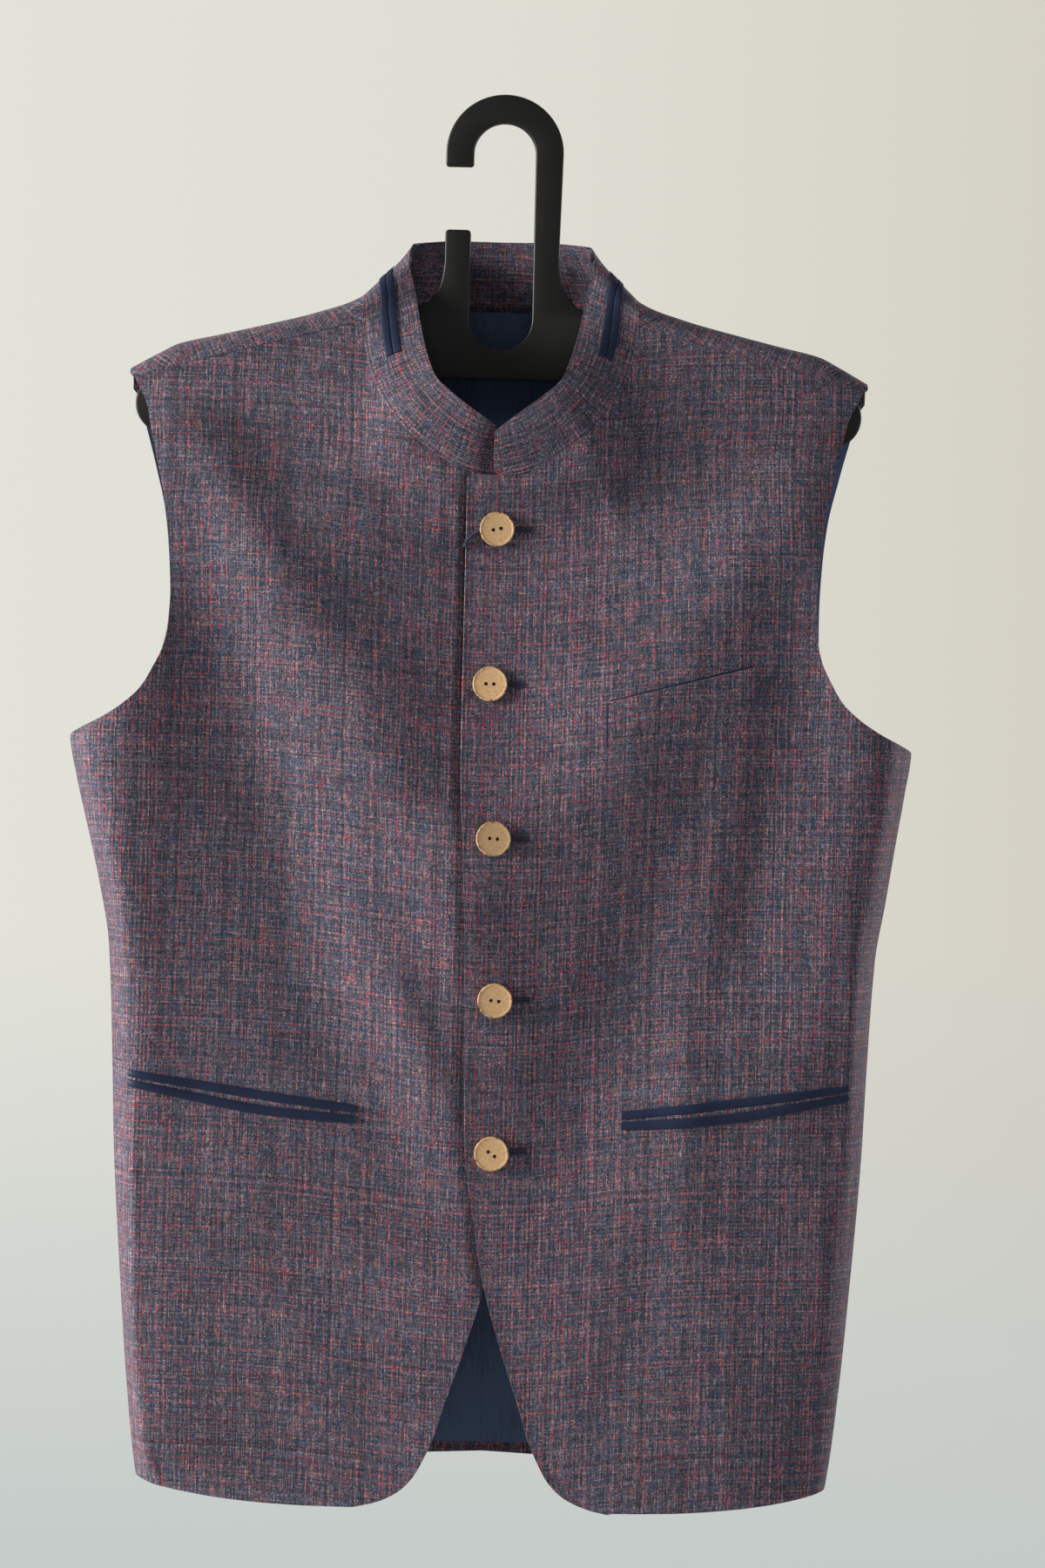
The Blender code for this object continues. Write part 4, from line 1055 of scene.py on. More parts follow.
def finish_sheet(piece, wall, edge_round, node, finish, cut, held="hung", rests_on=()):
    """Gives a sheet its wall, with the sheet as its outer face, rounds its edges and dresses it."""
    apply_modifier(piece, "SOLIDIFY", thickness=wall, offset=-1.0, use_even_offset=True, use_rim=True)
    soft = {"width": min(edge_round, wall * EDGE_WALL_SHARE), "segments": 2, "harden_normals": True}
    apply_modifier(piece, "BEVEL", limit_method="ANGLE", angle_limit=EDGE_ANGLE, **soft)
    dress(piece, node, finish)
    if cut:
        cut = CUTS[cut]


def dress(piece, node, finish):
    """Gives a piece its finish, parents it to the body and hides the model's part that it replaces."""
    material, make, slot = FINISHES[finish]
    piece.data.materials.clear()
    piece.data.materials.append(bpy.data.materials.get(material) or make(material))
    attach(piece, BODY)
    if node:
        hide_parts(node)


# ---------------------------------------------------------------- materials


def linear(hex_tone, share=1.0):
    """Linear colour of an sRGB hex value, darker or lighter by a share."""
    parts = [int(hex_tone[i : i + 2], 16) / 255.0 for i in (1, 3, 5)]
    parts = [part / 12.92 if part <= 0.04045 else ((part + 0.055) / 1.055) ** 2.4 for part in parts]
    return (*(min(part * share, 1.0) for part in parts), 1.0)


def plug(node, *inputs, **named):
    """Fills a node's sockets in use, in order, and others by name, with _ for a space.

    A number or colour is set there. An output, or a node's first one in use, is linked.
    """
    pairs = [*zip([socket for socket in node.inputs if socket.enabled], inputs)]
    pairs += [(node.inputs[name.replace("_", " ")], value) for name, value in named.items()]
    for socket, value in pairs:
        if isinstance(value, bpy.types.Node):
            value = next(output for output in value.outputs if output.enabled)
        if isinstance(value, bpy.types.NodeSocket):
            node.id_data.links.new(value, socket)
        else:
            socket.default_value = value
    return node


def add_node(tree, kind, *inputs, **settings):
    """Adds a node; settings with a capital are sockets, the others its properties.

    An operation may follow the kind after a dot.
    """
    kind, _, operation = kind.partition(".")
    node = tree.nodes.new("ShaderNode" + kind)
    if operation:
        node.operation = operation
    for name in [name for name in settings if name[0].islower()]:
        setattr(node, name, settings.pop(name))
    return plug(node, *inputs, **settings)


def new_material(name):
    """An empty material: what adds nodes to it, and its shader."""
    material = bpy.data.materials.new(name)
    material.use_nodes = True
    material.node_tree.nodes.clear()
    node = partial(add_node, material.node_tree)
    shader = node("BsdfPrincipled")
    node("OutputMaterial", Surface=shader)
    return material, node, shader


def set_ramp(node, stops):
    """Fills a colour ramp with (place, colour) stops."""
    elements = node.color_ramp.elements
    elements.remove(elements[-1])
    elements[0].position, elements[0].color = stops[0]
    for place, colour in stops[1:]:
        elements.new(place).color = colour
    return node


# Suiting. How fast a thread's tone changes along it in slubs, per thread crossed, and across
# threads and along them in bands; the places of the six tones; and what slubs, bands and single
# spots add to a tone, as a share and a shift
SLUB_SPACING = 5.37
SLUB_RATE = {"warp": 0.042, "weft": 0.050}
BAND_RATE = 0.33
BAND_RUN_RATE = 0.02
THREAD_SEEDS = {"warp": 3.1, "weft": 47.7}
BAND_SEED = 11.0
TONE_STOPS = (0.30, 0.47, 0.55, 0.61, 0.66, 0.72)
SLUB_TONE = (0.76, 0.12)
BAND_TONE = (0.12, -0.06)
SPOT_TONE = (-0.04, 0.04)

# Fancy threads: one set every so many threads, the share of threads in it, and how much warmer
# their tone is. The plain threads between them are cooler.
FANCY_THREADS = {
    "warp": ((4.60, 0.32, 0.100), (9.30, 0.15, 0.115)),
    "weft": ((4.20, 0.30, 0.095), (8.80, 0.15, 0.120)),
}
PLAIN_SHIFT = 0.064

# Light and dark, from low to high: pairs of threads, fibres, crossings and single ribs; and the weft's
# share where it lies over or under; and, as a share and a shift, the painted shade that darkens each
# thread towards its edges and the gaps between threads, and how much darker the weft is where it lies
# over
CLUMPS = (0.74, 1.26)
FIBRES = (0.42, 1.58)
CROSSINGS = (0.40, 1.60)
WARP_RIBS = (0.70, 1.30)
WEFT_RIBS = (0.76, 1.24)
WEFT_OVER = (0.40, 0.22)
GAP_PAINTED_SHADE = (0.60, 0.70)
WEFT_DARK = (-0.22, 1.11)

# How high bumps stand, in metres, and the scale of each pattern with its size
BUMP_HEIGHT = 0.0002
SATIN_YARN = (900.0, 60.0, 1.0)  # yarns drawn 1.1 mm wide, in floats of 17 mm; really 0.15 mm wide; they streak the colour with painted sheen
SATIN_SHEEN_CLOUD = (35.0, 20.0, 1.0)  # slow patches of painted sheen 30 to 50 mm across
TWIST_SCALE = 2200.0  # a twist of the thread every 0.45 mm
FLECK_SCALE = 900.0  # flecks of 1.1 mm
CHIP_SCALE = 620.0  # husk chips of 1.6 mm
HUSK_RADII = (0.0082, 0.0096)  # husk begins and is thickest
HUSK_AMOUNT = (-0.30, 0.07)
HUSK_EDGE = (0.55, 0.70)
GRAIN_SCALE = 1400.0  # moulded grain of 0.7 mm
RUB_SCALE = 45.0  # rubbed patches of 22 mm
RUB_ROUGHNESS = (0.42, 0.55)
ROLLER_SCALE = 120.0  # roller marks of 8 mm


def slub_suiting(name):
    """Slub hopsack suiting: matte and speckled, its warp and weft broken by red, rose and beige slubs.

    Real threads lie about 0.45 mm apart; they are drawn 0.54 mm apart, or they wouldn't show.
    """
    cloth = bpy.context.scene.jacket_cloth
    material, node, shader = new_material(name)

    def chance(x, y, low, high):
        """A different value in each cell, between low and high."""
        cell = node("TexWhiteNoise", node("CombineXYZ", x, y), noise_dimensions="2D")
        return node("Math.MULTIPLY_ADD", cell, high - low, low)

    place = node("SeparateXYZ", node("UVMap", uv_map="weave"))
    across = node("Math.DIVIDE", place.outputs["X"], cloth.thread_pitch)
    up = node("Math.DIVIDE", place.outputs["Y"], cloth.thread_pitch)
    warp = node("Math.FLOOR", across)
    weft = node("Math.FLOOR", up)

    # Each thread's tone runs along it in slubs, and threads in bands share more of one tone
    pair = [node("Math.FLOOR", node("Math.MULTIPLY", count, 0.5)) for count in (across, up)]
    scatter = chance(*pair, *SPOT_TONE)
    clumps = chance(*reversed(pair), *CLUMPS)
    hex_tones = (cloth.ground_dark, cloth.ground, cloth.mauve, cloth.beige, cloth.rose, cloth.red)
    stops = [(stop, linear(hex_tone)) for stop, hex_tone in zip(TONE_STOPS, hex_tones)]
    tones = []
    for kind, thread, run in (("warp", warp, up), ("weft", weft, across)):
        seed = THREAD_SEEDS[kind]
        noises = []
        for rate, run_rate, start in (
            (SLUB_SPACING, SLUB_RATE[kind], seed),
            (BAND_RATE, BAND_RUN_RATE, seed + BAND_SEED),
        ):
            pitch = node("Math.MULTIPLY", thread, rate)
            at = node("CombineXYZ", pitch, node("Math.MULTIPLY", run, run_rate), start)
            noises.append(node("TexNoise", at, Scale=1.0, Detail=1.0))
        slub, band = noises
        slub_tone = node("Math.MULTIPLY_ADD", slub, *SLUB_TONE)
        banded = node("Math.ADD", slub_tone, node("Math.MULTIPLY_ADD", band, *BAND_TONE))
        shifted = node("Math.SUBTRACT", banded, PLAIN_SHIFT)
        for every, share, shift in FANCY_THREADS[kind]:
            fancy = node("Math.LESS_THAN", node("Math.FRACT", node("Math.DIVIDE", thread, every)), share)
            shifted = node("Math.MULTIPLY_ADD", fancy, shift, shifted)
        tones.append(set_ramp(node("ValToRGB", node("Math.ADD", shifted, scatter)), stops))

    # Warp and weft lie over each other in turn, and the one below still shows between the threads
    turn = node("Math.FRACT", node("Math.MULTIPLY", node("Math.ADD", warp, weft), 0.5))
    weft_over = node("Math.GREATER_THAN", turn, 0.25)
    crossing = node("Mix", node("Math.MULTIPLY_ADD", weft_over, *WEFT_OVER), *tones, data_type="RGBA")

    # Threads, crossings and fibres each catch the light a little differently, over gaps darkened with
    # painted shade
    half_threads = [node("Math.FLOOR", node("Math.MULTIPLY", count, 2.0)) for count in (across, up)]
    fine = node("Math.MULTIPLY", chance(*half_threads, *FIBRES), chance(warp, weft, *CROSSINGS))
    speckle = node("Math.MULTIPLY", fine, clumps)
    ribs = node("Math.MULTIPLY", chance(warp, 0.5, *WARP_RIBS), chance(0.5, weft, *WEFT_RIBS))
    # Painted shade: each thread is lighter along its middle and darker towards its edges, so the gaps
    # between threads are darkest
    bows = [node("Math.MULTIPLY", node("Math.FRACT", count), math.pi) for count in (across, up)]
    top = node("Math.MULTIPLY", *[node("Math.SINE", bow) for bow in bows])
    below = node("Math.MULTIPLY_ADD", weft_over, *WEFT_DARK)
    gap = node("Math.MULTIPLY", node("Math.MULTIPLY_ADD", top, *GAP_PAINTED_SHADE), below)
    shade = node("Math.MULTIPLY", speckle, node("Math.MULTIPLY", ribs, gap))
    shaded = node("Mix", 1.0, crossing, shade, data_type="RGBA", blend_type="MULTIPLY")
    bump = node("Bump", Strength=0.2, Distance=BUMP_HEIGHT, Height=top)
    plug(shader, Base_Color=shaded, Normal=bump, Roughness=0.88, Specular_IOR_Level=0.25)
    plug(shader, Sheen_Weight=0.10, Sheen_Roughness=0.5)
    return material


def navy_satin(name):
    """Polyester satin: smooth navy with a soft sheen that runs across the fine twill lines, partly
    painted into its colour as lighter and darker streaks along the yarns and slow patches.

    The lining's is the lighter navy, lightened with painted light for the shade it lies in. The jets'
    and pipings' is a thin dark line on the suiting.
    """
    cloth = bpy.context.scene.jacket_cloth
    # The lining takes the tone lightened with painted light; jets and pipings take the binding's
    base = cloth.satin if "lining" in name else cloth.binding
    material, node, shader = new_material(name)
    weave = node("UVMap", uv_map="weave")
    yarn = node("TexNoise", node("Mapping", weave, Scale=SATIN_YARN), Scale=1.0, Detail=2.0)
    sheen_cloud = node("TexNoise", node("Mapping", weave, Scale=SATIN_SHEEN_CLOUD), Scale=1.0, Detail=1.0)
    # Painted sheen: the yarn and patch noise lighten and darken the base colour
    ramp = node("ValToRGB", node("Math.ADD", yarn, sheen_cloud))
    set_ramp(ramp, [(0.6, linear(base, 0.72)), (1.0, linear(base, 1.18))])
    bump = node("Bump", Strength=0.12, Distance=BUMP_HEIGHT, Height=yarn)
    plug(shader, Base_Color=ramp, Normal=bump, Roughness=0.52, Specular_IOR_Level=0.20)
    plug(shader, Sheen_Weight=0.06, Sheen_Roughness=0.35)
    return material


def buttonhole_thread(name):
    """Twisted polyester buttonhole thread: dark navy with a slight sheen."""
    base = bpy.context.scene.jacket_cloth.thread
    material, node, shader = new_material(name)
    where = node("TexCoord").outputs["Object"]
    ramp = node("ValToRGB", node("TexNoise", where, Scale=TWIST_SCALE, Detail=1.0))
    set_ramp(ramp, [(0.35, linear(base, 0.5)), (0.65, linear(base, 1.5))])
    plug(shader, Base_Color=ramp, Roughness=0.6, Sheen_Weight=0.2)
    return material


def coconut_shell(name):
    """Polished coconut shell: warm tan, finely flecked, with dark husk left in chips at the rim."""
    hard = bpy.context.scene.jacket_hard
    base = hard.shell
    material, node, shader = new_material(name)
    where = node("TexCoord").outputs["Object"]
    fleck = node("TexNoise", where, Scale=FLECK_SCALE, Detail=4.0, Roughness=0.7)
    flecked = node("ValToRGB", fleck)
    set_ramp(flecked, [(0.30, linear(base, 0.66)), (0.48, linear(base)), (0.72, linear(base, 1.18))])
    from_middle = node("VectorMath.LENGTH", node("UVMap", uv_map="face"))
    rim = node("MapRange", from_middle, *HUSK_RADII, *HUSK_AMOUNT)
    chips = node("TexNoise", where, Scale=CHIP_SCALE, Detail=3.0)
    husk = node("MapRange", node("Math.ADD", chips, rim), *HUSK_EDGE)
    shown = node("Mix", husk, flecked, linear(hard.shell_dark), data_type="RGBA")
    bump = node("Bump", Strength=0.3, Distance=BUMP_HEIGHT, Height=fleck)
    plug(shader, Base_Color=shown, Normal=bump, Roughness=0.48)
    return material


def moulded_plastic(name):
    """Injection-moulded polypropylene: near-black, even, with a faint satin grain and soft edges."""
    base = bpy.context.scene.jacket_hard.plastic
    material, node, shader = new_material(name)
    where = node("TexCoord").outputs["Object"]
    rub = node("TexNoise", where, Scale=RUB_SCALE, Detail=3.0)
    rubbed = set_ramp(node("ValToRGB", rub), [(0.3, linear(base, 0.85)), (0.7, linear(base))])
    gloss = node("MapRange", rub, 0.0, 1.0, *RUB_ROUGHNESS)
    grain = node("TexNoise", where, Scale=GRAIN_SCALE, Detail=2.0)
    bump = node("Bump", Strength=0.08, Distance=BUMP_HEIGHT, Height=grain)
    plug(shader, Base_Color=rubbed, Roughness=gloss, Normal=bump)
    return material


def floor_paint(name):
    """Matt floor paint: pale and even, with a slight roller texture."""
    material, node, shader = new_material(name)
    roller = node("TexNoise", node("TexCoord").outputs["Object"], Scale=ROLLER_SCALE, Detail=2.0)
    bump = node("Bump", Strength=0.05, Distance=0.001, Height=roller)
    base = linear(bpy.context.scene.jacket_studio.floor_tone)
    plug(shader, Base_Color=base, Roughness=0.8, Normal=bump)
    return material


# Each finish: its material's name, what makes it, and the record's slot
FINISHES = {
    "suiting": ("slub_hopsack_suiting", slub_suiting, "suiting"),
    "lining": ("navy_lining_satin", navy_satin, "navy_satin"),
    "binding": ("navy_binding_satin", navy_satin, "navy_satin"),
    "thread": ("navy_buttonhole_thread", buttonhole_thread, "navy_satin"),
    "shell": ("polished_coconut_shell", coconut_shell, "button_wood"),
    "plastic": ("satin_moulded_polypropylene", moulded_plastic, "hanger_plastic"),
}


# ---------------------------------------------------------------- pieces


class JacketFronts(bpy.types.Operator):
    """Makes the two fronts: hopsack over its facing, with the creases of a jacket on a hanger"""

    bl_idname = "jacket.make_fronts"
    bl_label = "Fronts"

    def execute(self, context):
        cloth = context.scene.jacket_cloth
        for side in SIDES:
            sheet = make_sheet(
                "front_%s_cloth" % side,
                FRONT_STEPS,
                lambda u, v: front_point(u, row_at(FRONT_GRID_ROWS, v), side),
                grain_upright,
                side == "right",
            )
            rests_on = ["back_cloth", "hanger_plate"]
            walls = (cloth.front_wall, cloth.closing_round)
            finish_sheet(sheet, *walls, "front_" + side, "suiting", "front", "hung", rests_on)
        return {"FINISHED"}


class JacketBack(bpy.types.Operator):
    """Makes the back, in one piece over the shoulders to the seams in front"""

    bl_idname = "jacket.make_back"
    bl_label = "Back"

    def execute(self, context):
        cloth = context.scene.jacket_cloth
        halves = []
        for side in SIDES:
            half = make_sheet(
                "back_half_" + side,
                BACK_STEPS,
                lambda u, v: back_point(u, row_at(BACK_GRID_ROWS, v), side),
                grain_over_shoulder,
                side == "left",
            )
            halves.append(half)
        back = join_halves("back_cloth", halves)
        walls = (cloth.back_wall, cloth.edge_round)
        finish_sheet(back, *walls, "back", "suiting", "back", "hung", ["hanger_plate"])
        return {"FINISHED"}


class JacketLining(bpy.types.Operator):
    """Makes the satin back lining, in two halves with a seam down the middle"""

    bl_idname = "jacket.make_lining"
    bl_label = "Lining"

    def execute(self, context):
        cloth = context.scene.jacket_cloth
        for side in SIDES:
            sheet = make_sheet(
                "lining_%s_satin" % side,
                LINING_STEPS,
                lambda u, v: back_point(u, row_at(LINING_GRID_ROWS, v), side, lining=True),
                grain_upright,
                side == "left",
            )
            walls = (cloth.lining_wall, cloth.edge_round)
            node = "lining_back_" + side
            finish_sheet(sheet, *walls, node, "lining", "lining", "hung", ["back_cloth"])
        return {"FINISHED"}


class JacketCollar(bpy.types.Operator):
    """Makes the stiffened band collar, open at the neck, its over end on the wearer's left"""

    bl_idname = "jacket.make_collar"
    bl_label = "Collar"

    def execute(self, context):
        cloth = context.scene.jacket_cloth
        crosswise = lambda points: grain_along(points)[:, :, ::-1]
        sheet = make_sheet(
            "collar_band", COLLAR_STEPS, collar_ring, crosswise, False, COLLAR_WEAVE_SHIFT
        )
        rests_on = ["front_left_cloth", "back_cloth"]
        walls = (cloth.collar_wall, cloth.edge_round)
        finish_sheet(sheet, *walls, "collar", "suiting", "collar", "stretched", rests_on)
        return {"FINISHED"}


class JacketPipings(bpy.types.Operator):
    """Makes the two satin pipings along each side of the collar"""

    bl_idname = "jacket.make_pipings"
    bl_label = "Collar pipings"

    def execute(self, context):
        cloth = context.scene.jacket_cloth
        walls = (cloth.trim_wall * LAID_WALL_SHARE, cloth.edge_round)
        for side in SIDES:
            for name, (low, high) in PIPING_RISES.items():

                def place(u, v):
                    course = between(PIPING_FRONT, PIPING_BACK, u)
                    lift = cloth.laid_gap + cloth.trim_wall * PIPING_LIFT_SHARE * (1.0 + arch(v))
                    return collar_point(course, between(low, high, v) + PIPING_CLIMB * u, side, lift)

                piping = "piping_%s_%s" % (name, side)
                sheet = make_sheet(piping, PIPING_STEPS, place, grain_along, side == "right")
                node = "collar_" + piping
                finish_sheet(sheet, *walls, node, "binding", "piping", "laid", ["collar_band"])
        return {"FINISHED"}


class JacketWelt(bpy.types.Operator):
    """Makes the slanting chest welt on the wearer's left, its end tacks, and a dark strip of lining laid
    on the front under and just above it as painted shade for the pocket's mouth
    """

    bl_idname = "jacket.make_welt"
    bl_label = "Chest welt"

    def execute(self, context):
        cloth = context.scene.jacket_cloth

        def lift(v):
            sewn_down = ease(v / WELT_SEAM_SHARE)
            return (cloth.laid_gap + cloth.welt_wall) * sewn_down + WELT_STAND * v * v

        def place_lining_and_shade(u, v):
            above = WELT_LINING_SHADE_SHOWS - WELT_LINING_SHADE_HEIGHT * (1.0 - v)
            inset = between(WELT_LINING_SHADE_INSET, 1.0 - WELT_LINING_SHADE_INSET, u)
            return on_welt(inset, 1.0 + above / WELT_HEIGHT, cloth.laid_gap)

        rests_on = ["front_left_cloth"]
        welt = make_sheet(
            "chest_welt_cloth", WELT_STEPS, lambda u, v: on_welt(u, v, lift(v)), grain_upright, False
        )
        walls = (cloth.welt_wall, cloth.edge_round)
        finish_sheet(welt, *walls, "chest_welt", "suiting", "welt", "laid", rests_on)
        for end, name in ((0.0, "inner"), (1.0, "outer")):

            def place_tack(u, v):
                return on_welt(end, v, lift(v) + WELT_TACK_PROUD, WELT_TACK_WIDTH * (u - end))

            tack = make_sheet("welt_tack_" + name, TACK_STEPS, place_tack, grain_along, False)
            finish_sheet(tack, WELT_TACK_PROUD, cloth.edge_round, None, "thread", None)
        # Painted shade: a dark satin strip on the front just above the welt stands for the shadowed
        # mouth of the pocket and the lining inside it
        behind = make_sheet("chest_pocket_lining", WELT_LINING_SHADE_STEPS, place_lining_and_shade, grain_along, False)
        walls = (cloth.laid_gap / 2.0, cloth.edge_round)
        finish_sheet(behind, *walls, None, "binding", "welt_lining", "laid", rests_on)
        return {"FINISHED"}


class JacketPockets(bpy.types.Operator):
    """Makes each lower pocket's two satin jets and the strip of suiting between them"""

    bl_idname = "jacket.make_pockets"
    bl_label = "Lower pockets"

    def execute(self, context):
        cloth = context.scene.jacket_cloth
        for side in SIDES:
            for strip in POCKET_STRIPS:
                wall = cloth.trim_wall * strip.wall_share

                def place(u, v):
                    x = between(POCKET[0].x + strip.end_margin, POCKET[-1].x - strip.end_margin, u)
                    low_z, high_z = values_at(POCKET, x, strip.low, strip.high)
                    z = between(low_z + strip.side_margin, high_z - strip.side_margin, v)
                    return on_front(x, z, side, strip.lift + wall + strip.puff * arch(v))

                name = strip.name + side
                grid = (name + "_strip", POCKET_STEPS, place, grain_along)
                sheet = make_sheet(*grid, side == "right", POCKET_WEAVE_SHIFT)
                rests_on = ["front_%s_cloth" % side]
                finish_sheet(
                    sheet, wall, cloth.edge_round, name, strip.finish, strip.cut, "laid", rests_on
                )
        return {"FINISHED"}


class JacketButtons(bpy.types.Operator):
    """Makes the five two-hole coconut buttons, each with its dished face and its thread"""

    bl_idname = "jacket.make_buttons"
    bl_label = "Buttons"

    def blank(self, hard):
        """One button at the origin, facing up: raised rim, dished face, undercut edge."""
        radius, height = hard.button_radius, hard.button_height
        cylinder = bpy.ops.mesh.primitive_cylinder_add
        middle = (0.0, 0.0, height / 2.0)
        blank = add_primitive(
            "blank", cylinder, vertices=BUTTON_SIDES, radius=radius, depth=height, location=middle
        )
        bpy.ops.object.transform_apply(location=True, rotation=True, scale=True)
        for way, insets, move in (
            (1, (BUTTON_RIM_SHARE, BUTTON_SLOPE_SHARE), BUTTON_DISH_SHARE),
            (-1, (BUTTON_FOOT_SHARE,), BUTTON_FOOT_HEIGHT_SHARE),
        ):
            pick_faces(blank, way)
            for inset in insets:
                bpy.ops.mesh.inset(thickness=radius * inset)
            bpy.ops.transform.translate(value=(0.0, 0.0, -height * move))
            bpy.ops.object.mode_set(mode="OBJECT")
        soft = {"width": radius * BUTTON_SOFT_SHARE, "segments": 3, "limit_method": "ANGLE"}
        apply_modifier(blank, "BEVEL", angle_limit=BUTTON_SOFT_ANGLE, **soft)
        for way in (-1.0, 1.0):
            place = (way * hard.hole_spacing / 2.0, 0.0, 0.0)
            size = {"radius": hard.hole_radius, "depth": height * ROD_HEIGHT_SHARE}
            rod = add_primitive("rod", cylinder, vertices=HOLE_SIDES, location=place, **size)
            apply_modifier(blank, "BOOLEAN", operation="DIFFERENCE", solver="EXACT", object=rod)
            bpy.data.objects.remove(rod, do_unlink=True)
        points = np.array([point.co.xy for point in blank.data.vertices])
        set_uv(blank.data, "face", points)
        blank.data.shade_smooth()
        select_only(blank)
        bpy.ops.object.shade_smooth_by_angle(angle=BUTTON_SMOOTH_ANGLE)
        return blank

    def seat(self, place, stand):
        """Matrix that carries a button from the origin to the over front, square to the cloth."""
        xs = place.x + SLOPE_STEP * np.array([0, -1, 1, 0, 0])
        zs = place.z + SLOPE_STEP * np.array([0, 0, 0, -1, 1])
        ys = front_y(xs, zs, "left")
        outward = Vector((ys[2] - ys[1], -2.0 * SLOPE_STEP, ys[4] - ys[3])).normalized()
        upward = outward.cross(Vector((1.0, 0.0, 0.0))).normalized()
        seat = Matrix((upward.cross(outward), upward, outward)).transposed().to_4x4()
        seat.translation = Vector((place.x + hang(place.z), ys[0], place.z)) + outward * stand
        return seat @ Matrix.Rotation(math.radians(place.turn), 4, "Z")

    def execute(self, context):
        hard = context.scene.jacket_hard
        blank = self.blank(hard)
        sphere = bpy.ops.mesh.primitive_uv_sphere_add
        size = {"radius": hard.hole_radius * THREAD_RADIUS_SHARE, "location": (0, 0, 0)}
        strand = add_primitive("strand", sphere, segments=16, ring_count=10, **size)
        strand.data.shade_smooth()
        for number, place in enumerate(BUTTONS, start=1):
            seat = self.seat(place, hard.button_stand)
            button = copy_of(blank, "coconut_button_%d" % number)
            button.data.transform(seat)
            dress(button, "button_%d" % number, "shell")
            ends = []
            for way in (-1.0, 1.0):
                end = copy_of(strand, "thread_end")
                middle = (way * hard.hole_spacing / 2.0, 0.0, hard.button_height * THREAD_HEIGHT_SHARE)
                stretch = Matrix.Diagonal((1.0, 1.0, THREAD_STRETCH, 1.0))
                end.data.transform(seat @ Matrix.Translation(middle) @ stretch)
                ends.append(end)
            dress(join_pieces("button_thread_%d" % number, ends), None, "thread")
        for thing in (blank, strand):
            bpy.data.objects.remove(thing, do_unlink=True)
        return {"FINISHED"}


class JacketButtonholes(bpy.types.Operator):
    """Works the five buttonholes in navy thread"""

    bl_idname = "jacket.make_buttonholes"
    bl_label = "Buttonholes"

    def stitch_row(self, way, length):
        """A row of stitches along +X, on one side of a hole."""
        sphere = bpy.ops.mesh.primitive_uv_sphere_add
        ball = {"segments": 8, "ring_count": 6, "radius": 0.5, "location": (0, 0, 0)}
        stitch = add_primitive("stitch", sphere, **ball)
        sizes = (STITCH_PITCH * STITCH_OVERLAP, WORK_HEIGHT / 2.0, STITCH_PROUD * 2.0)
        size = Matrix.Diagonal((*sizes, 1.0))
        stitch.data.transform(Matrix.Translation((0.0, way * WORK_HEIGHT / 4.0, 0.0)) @ size)
        stitch.data.shade_smooth()
        row = {"use_relative_offset": False, "use_constant_offset": True}
        row["constant_offset_displace"] = (STITCH_PITCH, 0.0, 0.0)
        apply_modifier(stitch, "ARRAY", count=int(length / STITCH_PITCH), **row)
        return stitch

    def execute(self, context):
        for number, place in enumerate(BUTTONS, start=1):
            length = place.work_end - WORK_START
            rows = [self.stitch_row(way, length) for way in (-1.0, 1.0)]
            worked = join_pieces("buttonhole_%d" % number, rows)
            turn = math.radians(place.work_turn)

            def lay(x, y, z):
                along = WORK_START + x
                uneven = 1.0
                for height, rate, shift in STITCH_UNEVEN:
                    uneven = uneven + height * np.sin(along * rate + shift * number)
                height, rate = STITCH_WANDER
                across = y * uneven + height * np.sin(along * rate + number)
                on_x = place.x + along * math.cos(turn) - across * math.sin(turn)
                on_z = place.z + along * math.sin(turn) + across * math.cos(turn)
                return on_front(on_x, on_z, "left", np.maximum(z, STITCH_FLOOR) + STITCH_LIFT)

            move_points(worked, lay)
            dress(worked, None, "thread")
        return {"FINISHED"}


class JacketLoops(bpy.types.Operator):
    """Lays the loose thread loops that hang beside the two upper buttons"""

    bl_idname = "jacket.make_loops"
    bl_label = "Thread loops"

    def execute(self, context):
        for loop in LOOPS:
            x, z = smooth_line(loop.points, LOOP_STEPS, LOOP_ROUNDS).T
            middle = on_front(x, z, "left", loop.proud)
            offset = loop.radius * STRAND_OFFSET_SHARE if loop.strands > 1 else 0.0
            round_thread = {"bevel_depth": loop.radius, "bevel_resolution": 2, "use_fill_caps": True}
            strands = []
            for strand in range(loop.strands):
                turns = np.linspace(0.0, 1.0, LOOP_STEPS) * loop.twists + strand / loop.strands
                turn = 2.0 * math.pi * turns
                sway = np.stack((np.cos(turn), np.sin(turn), STRAND_RISE_SHARE * np.cos(turn)), axis=1)
                points = middle + sway * offset
                strands.append(mesh_from_curve("thread", points, False, dimensions="3D", **round_thread))
            twisted = join_pieces(loop.name, strands)
            twisted.data.shade_smooth()
            dress(twisted, None, "thread")
        return {"FINISHED"}


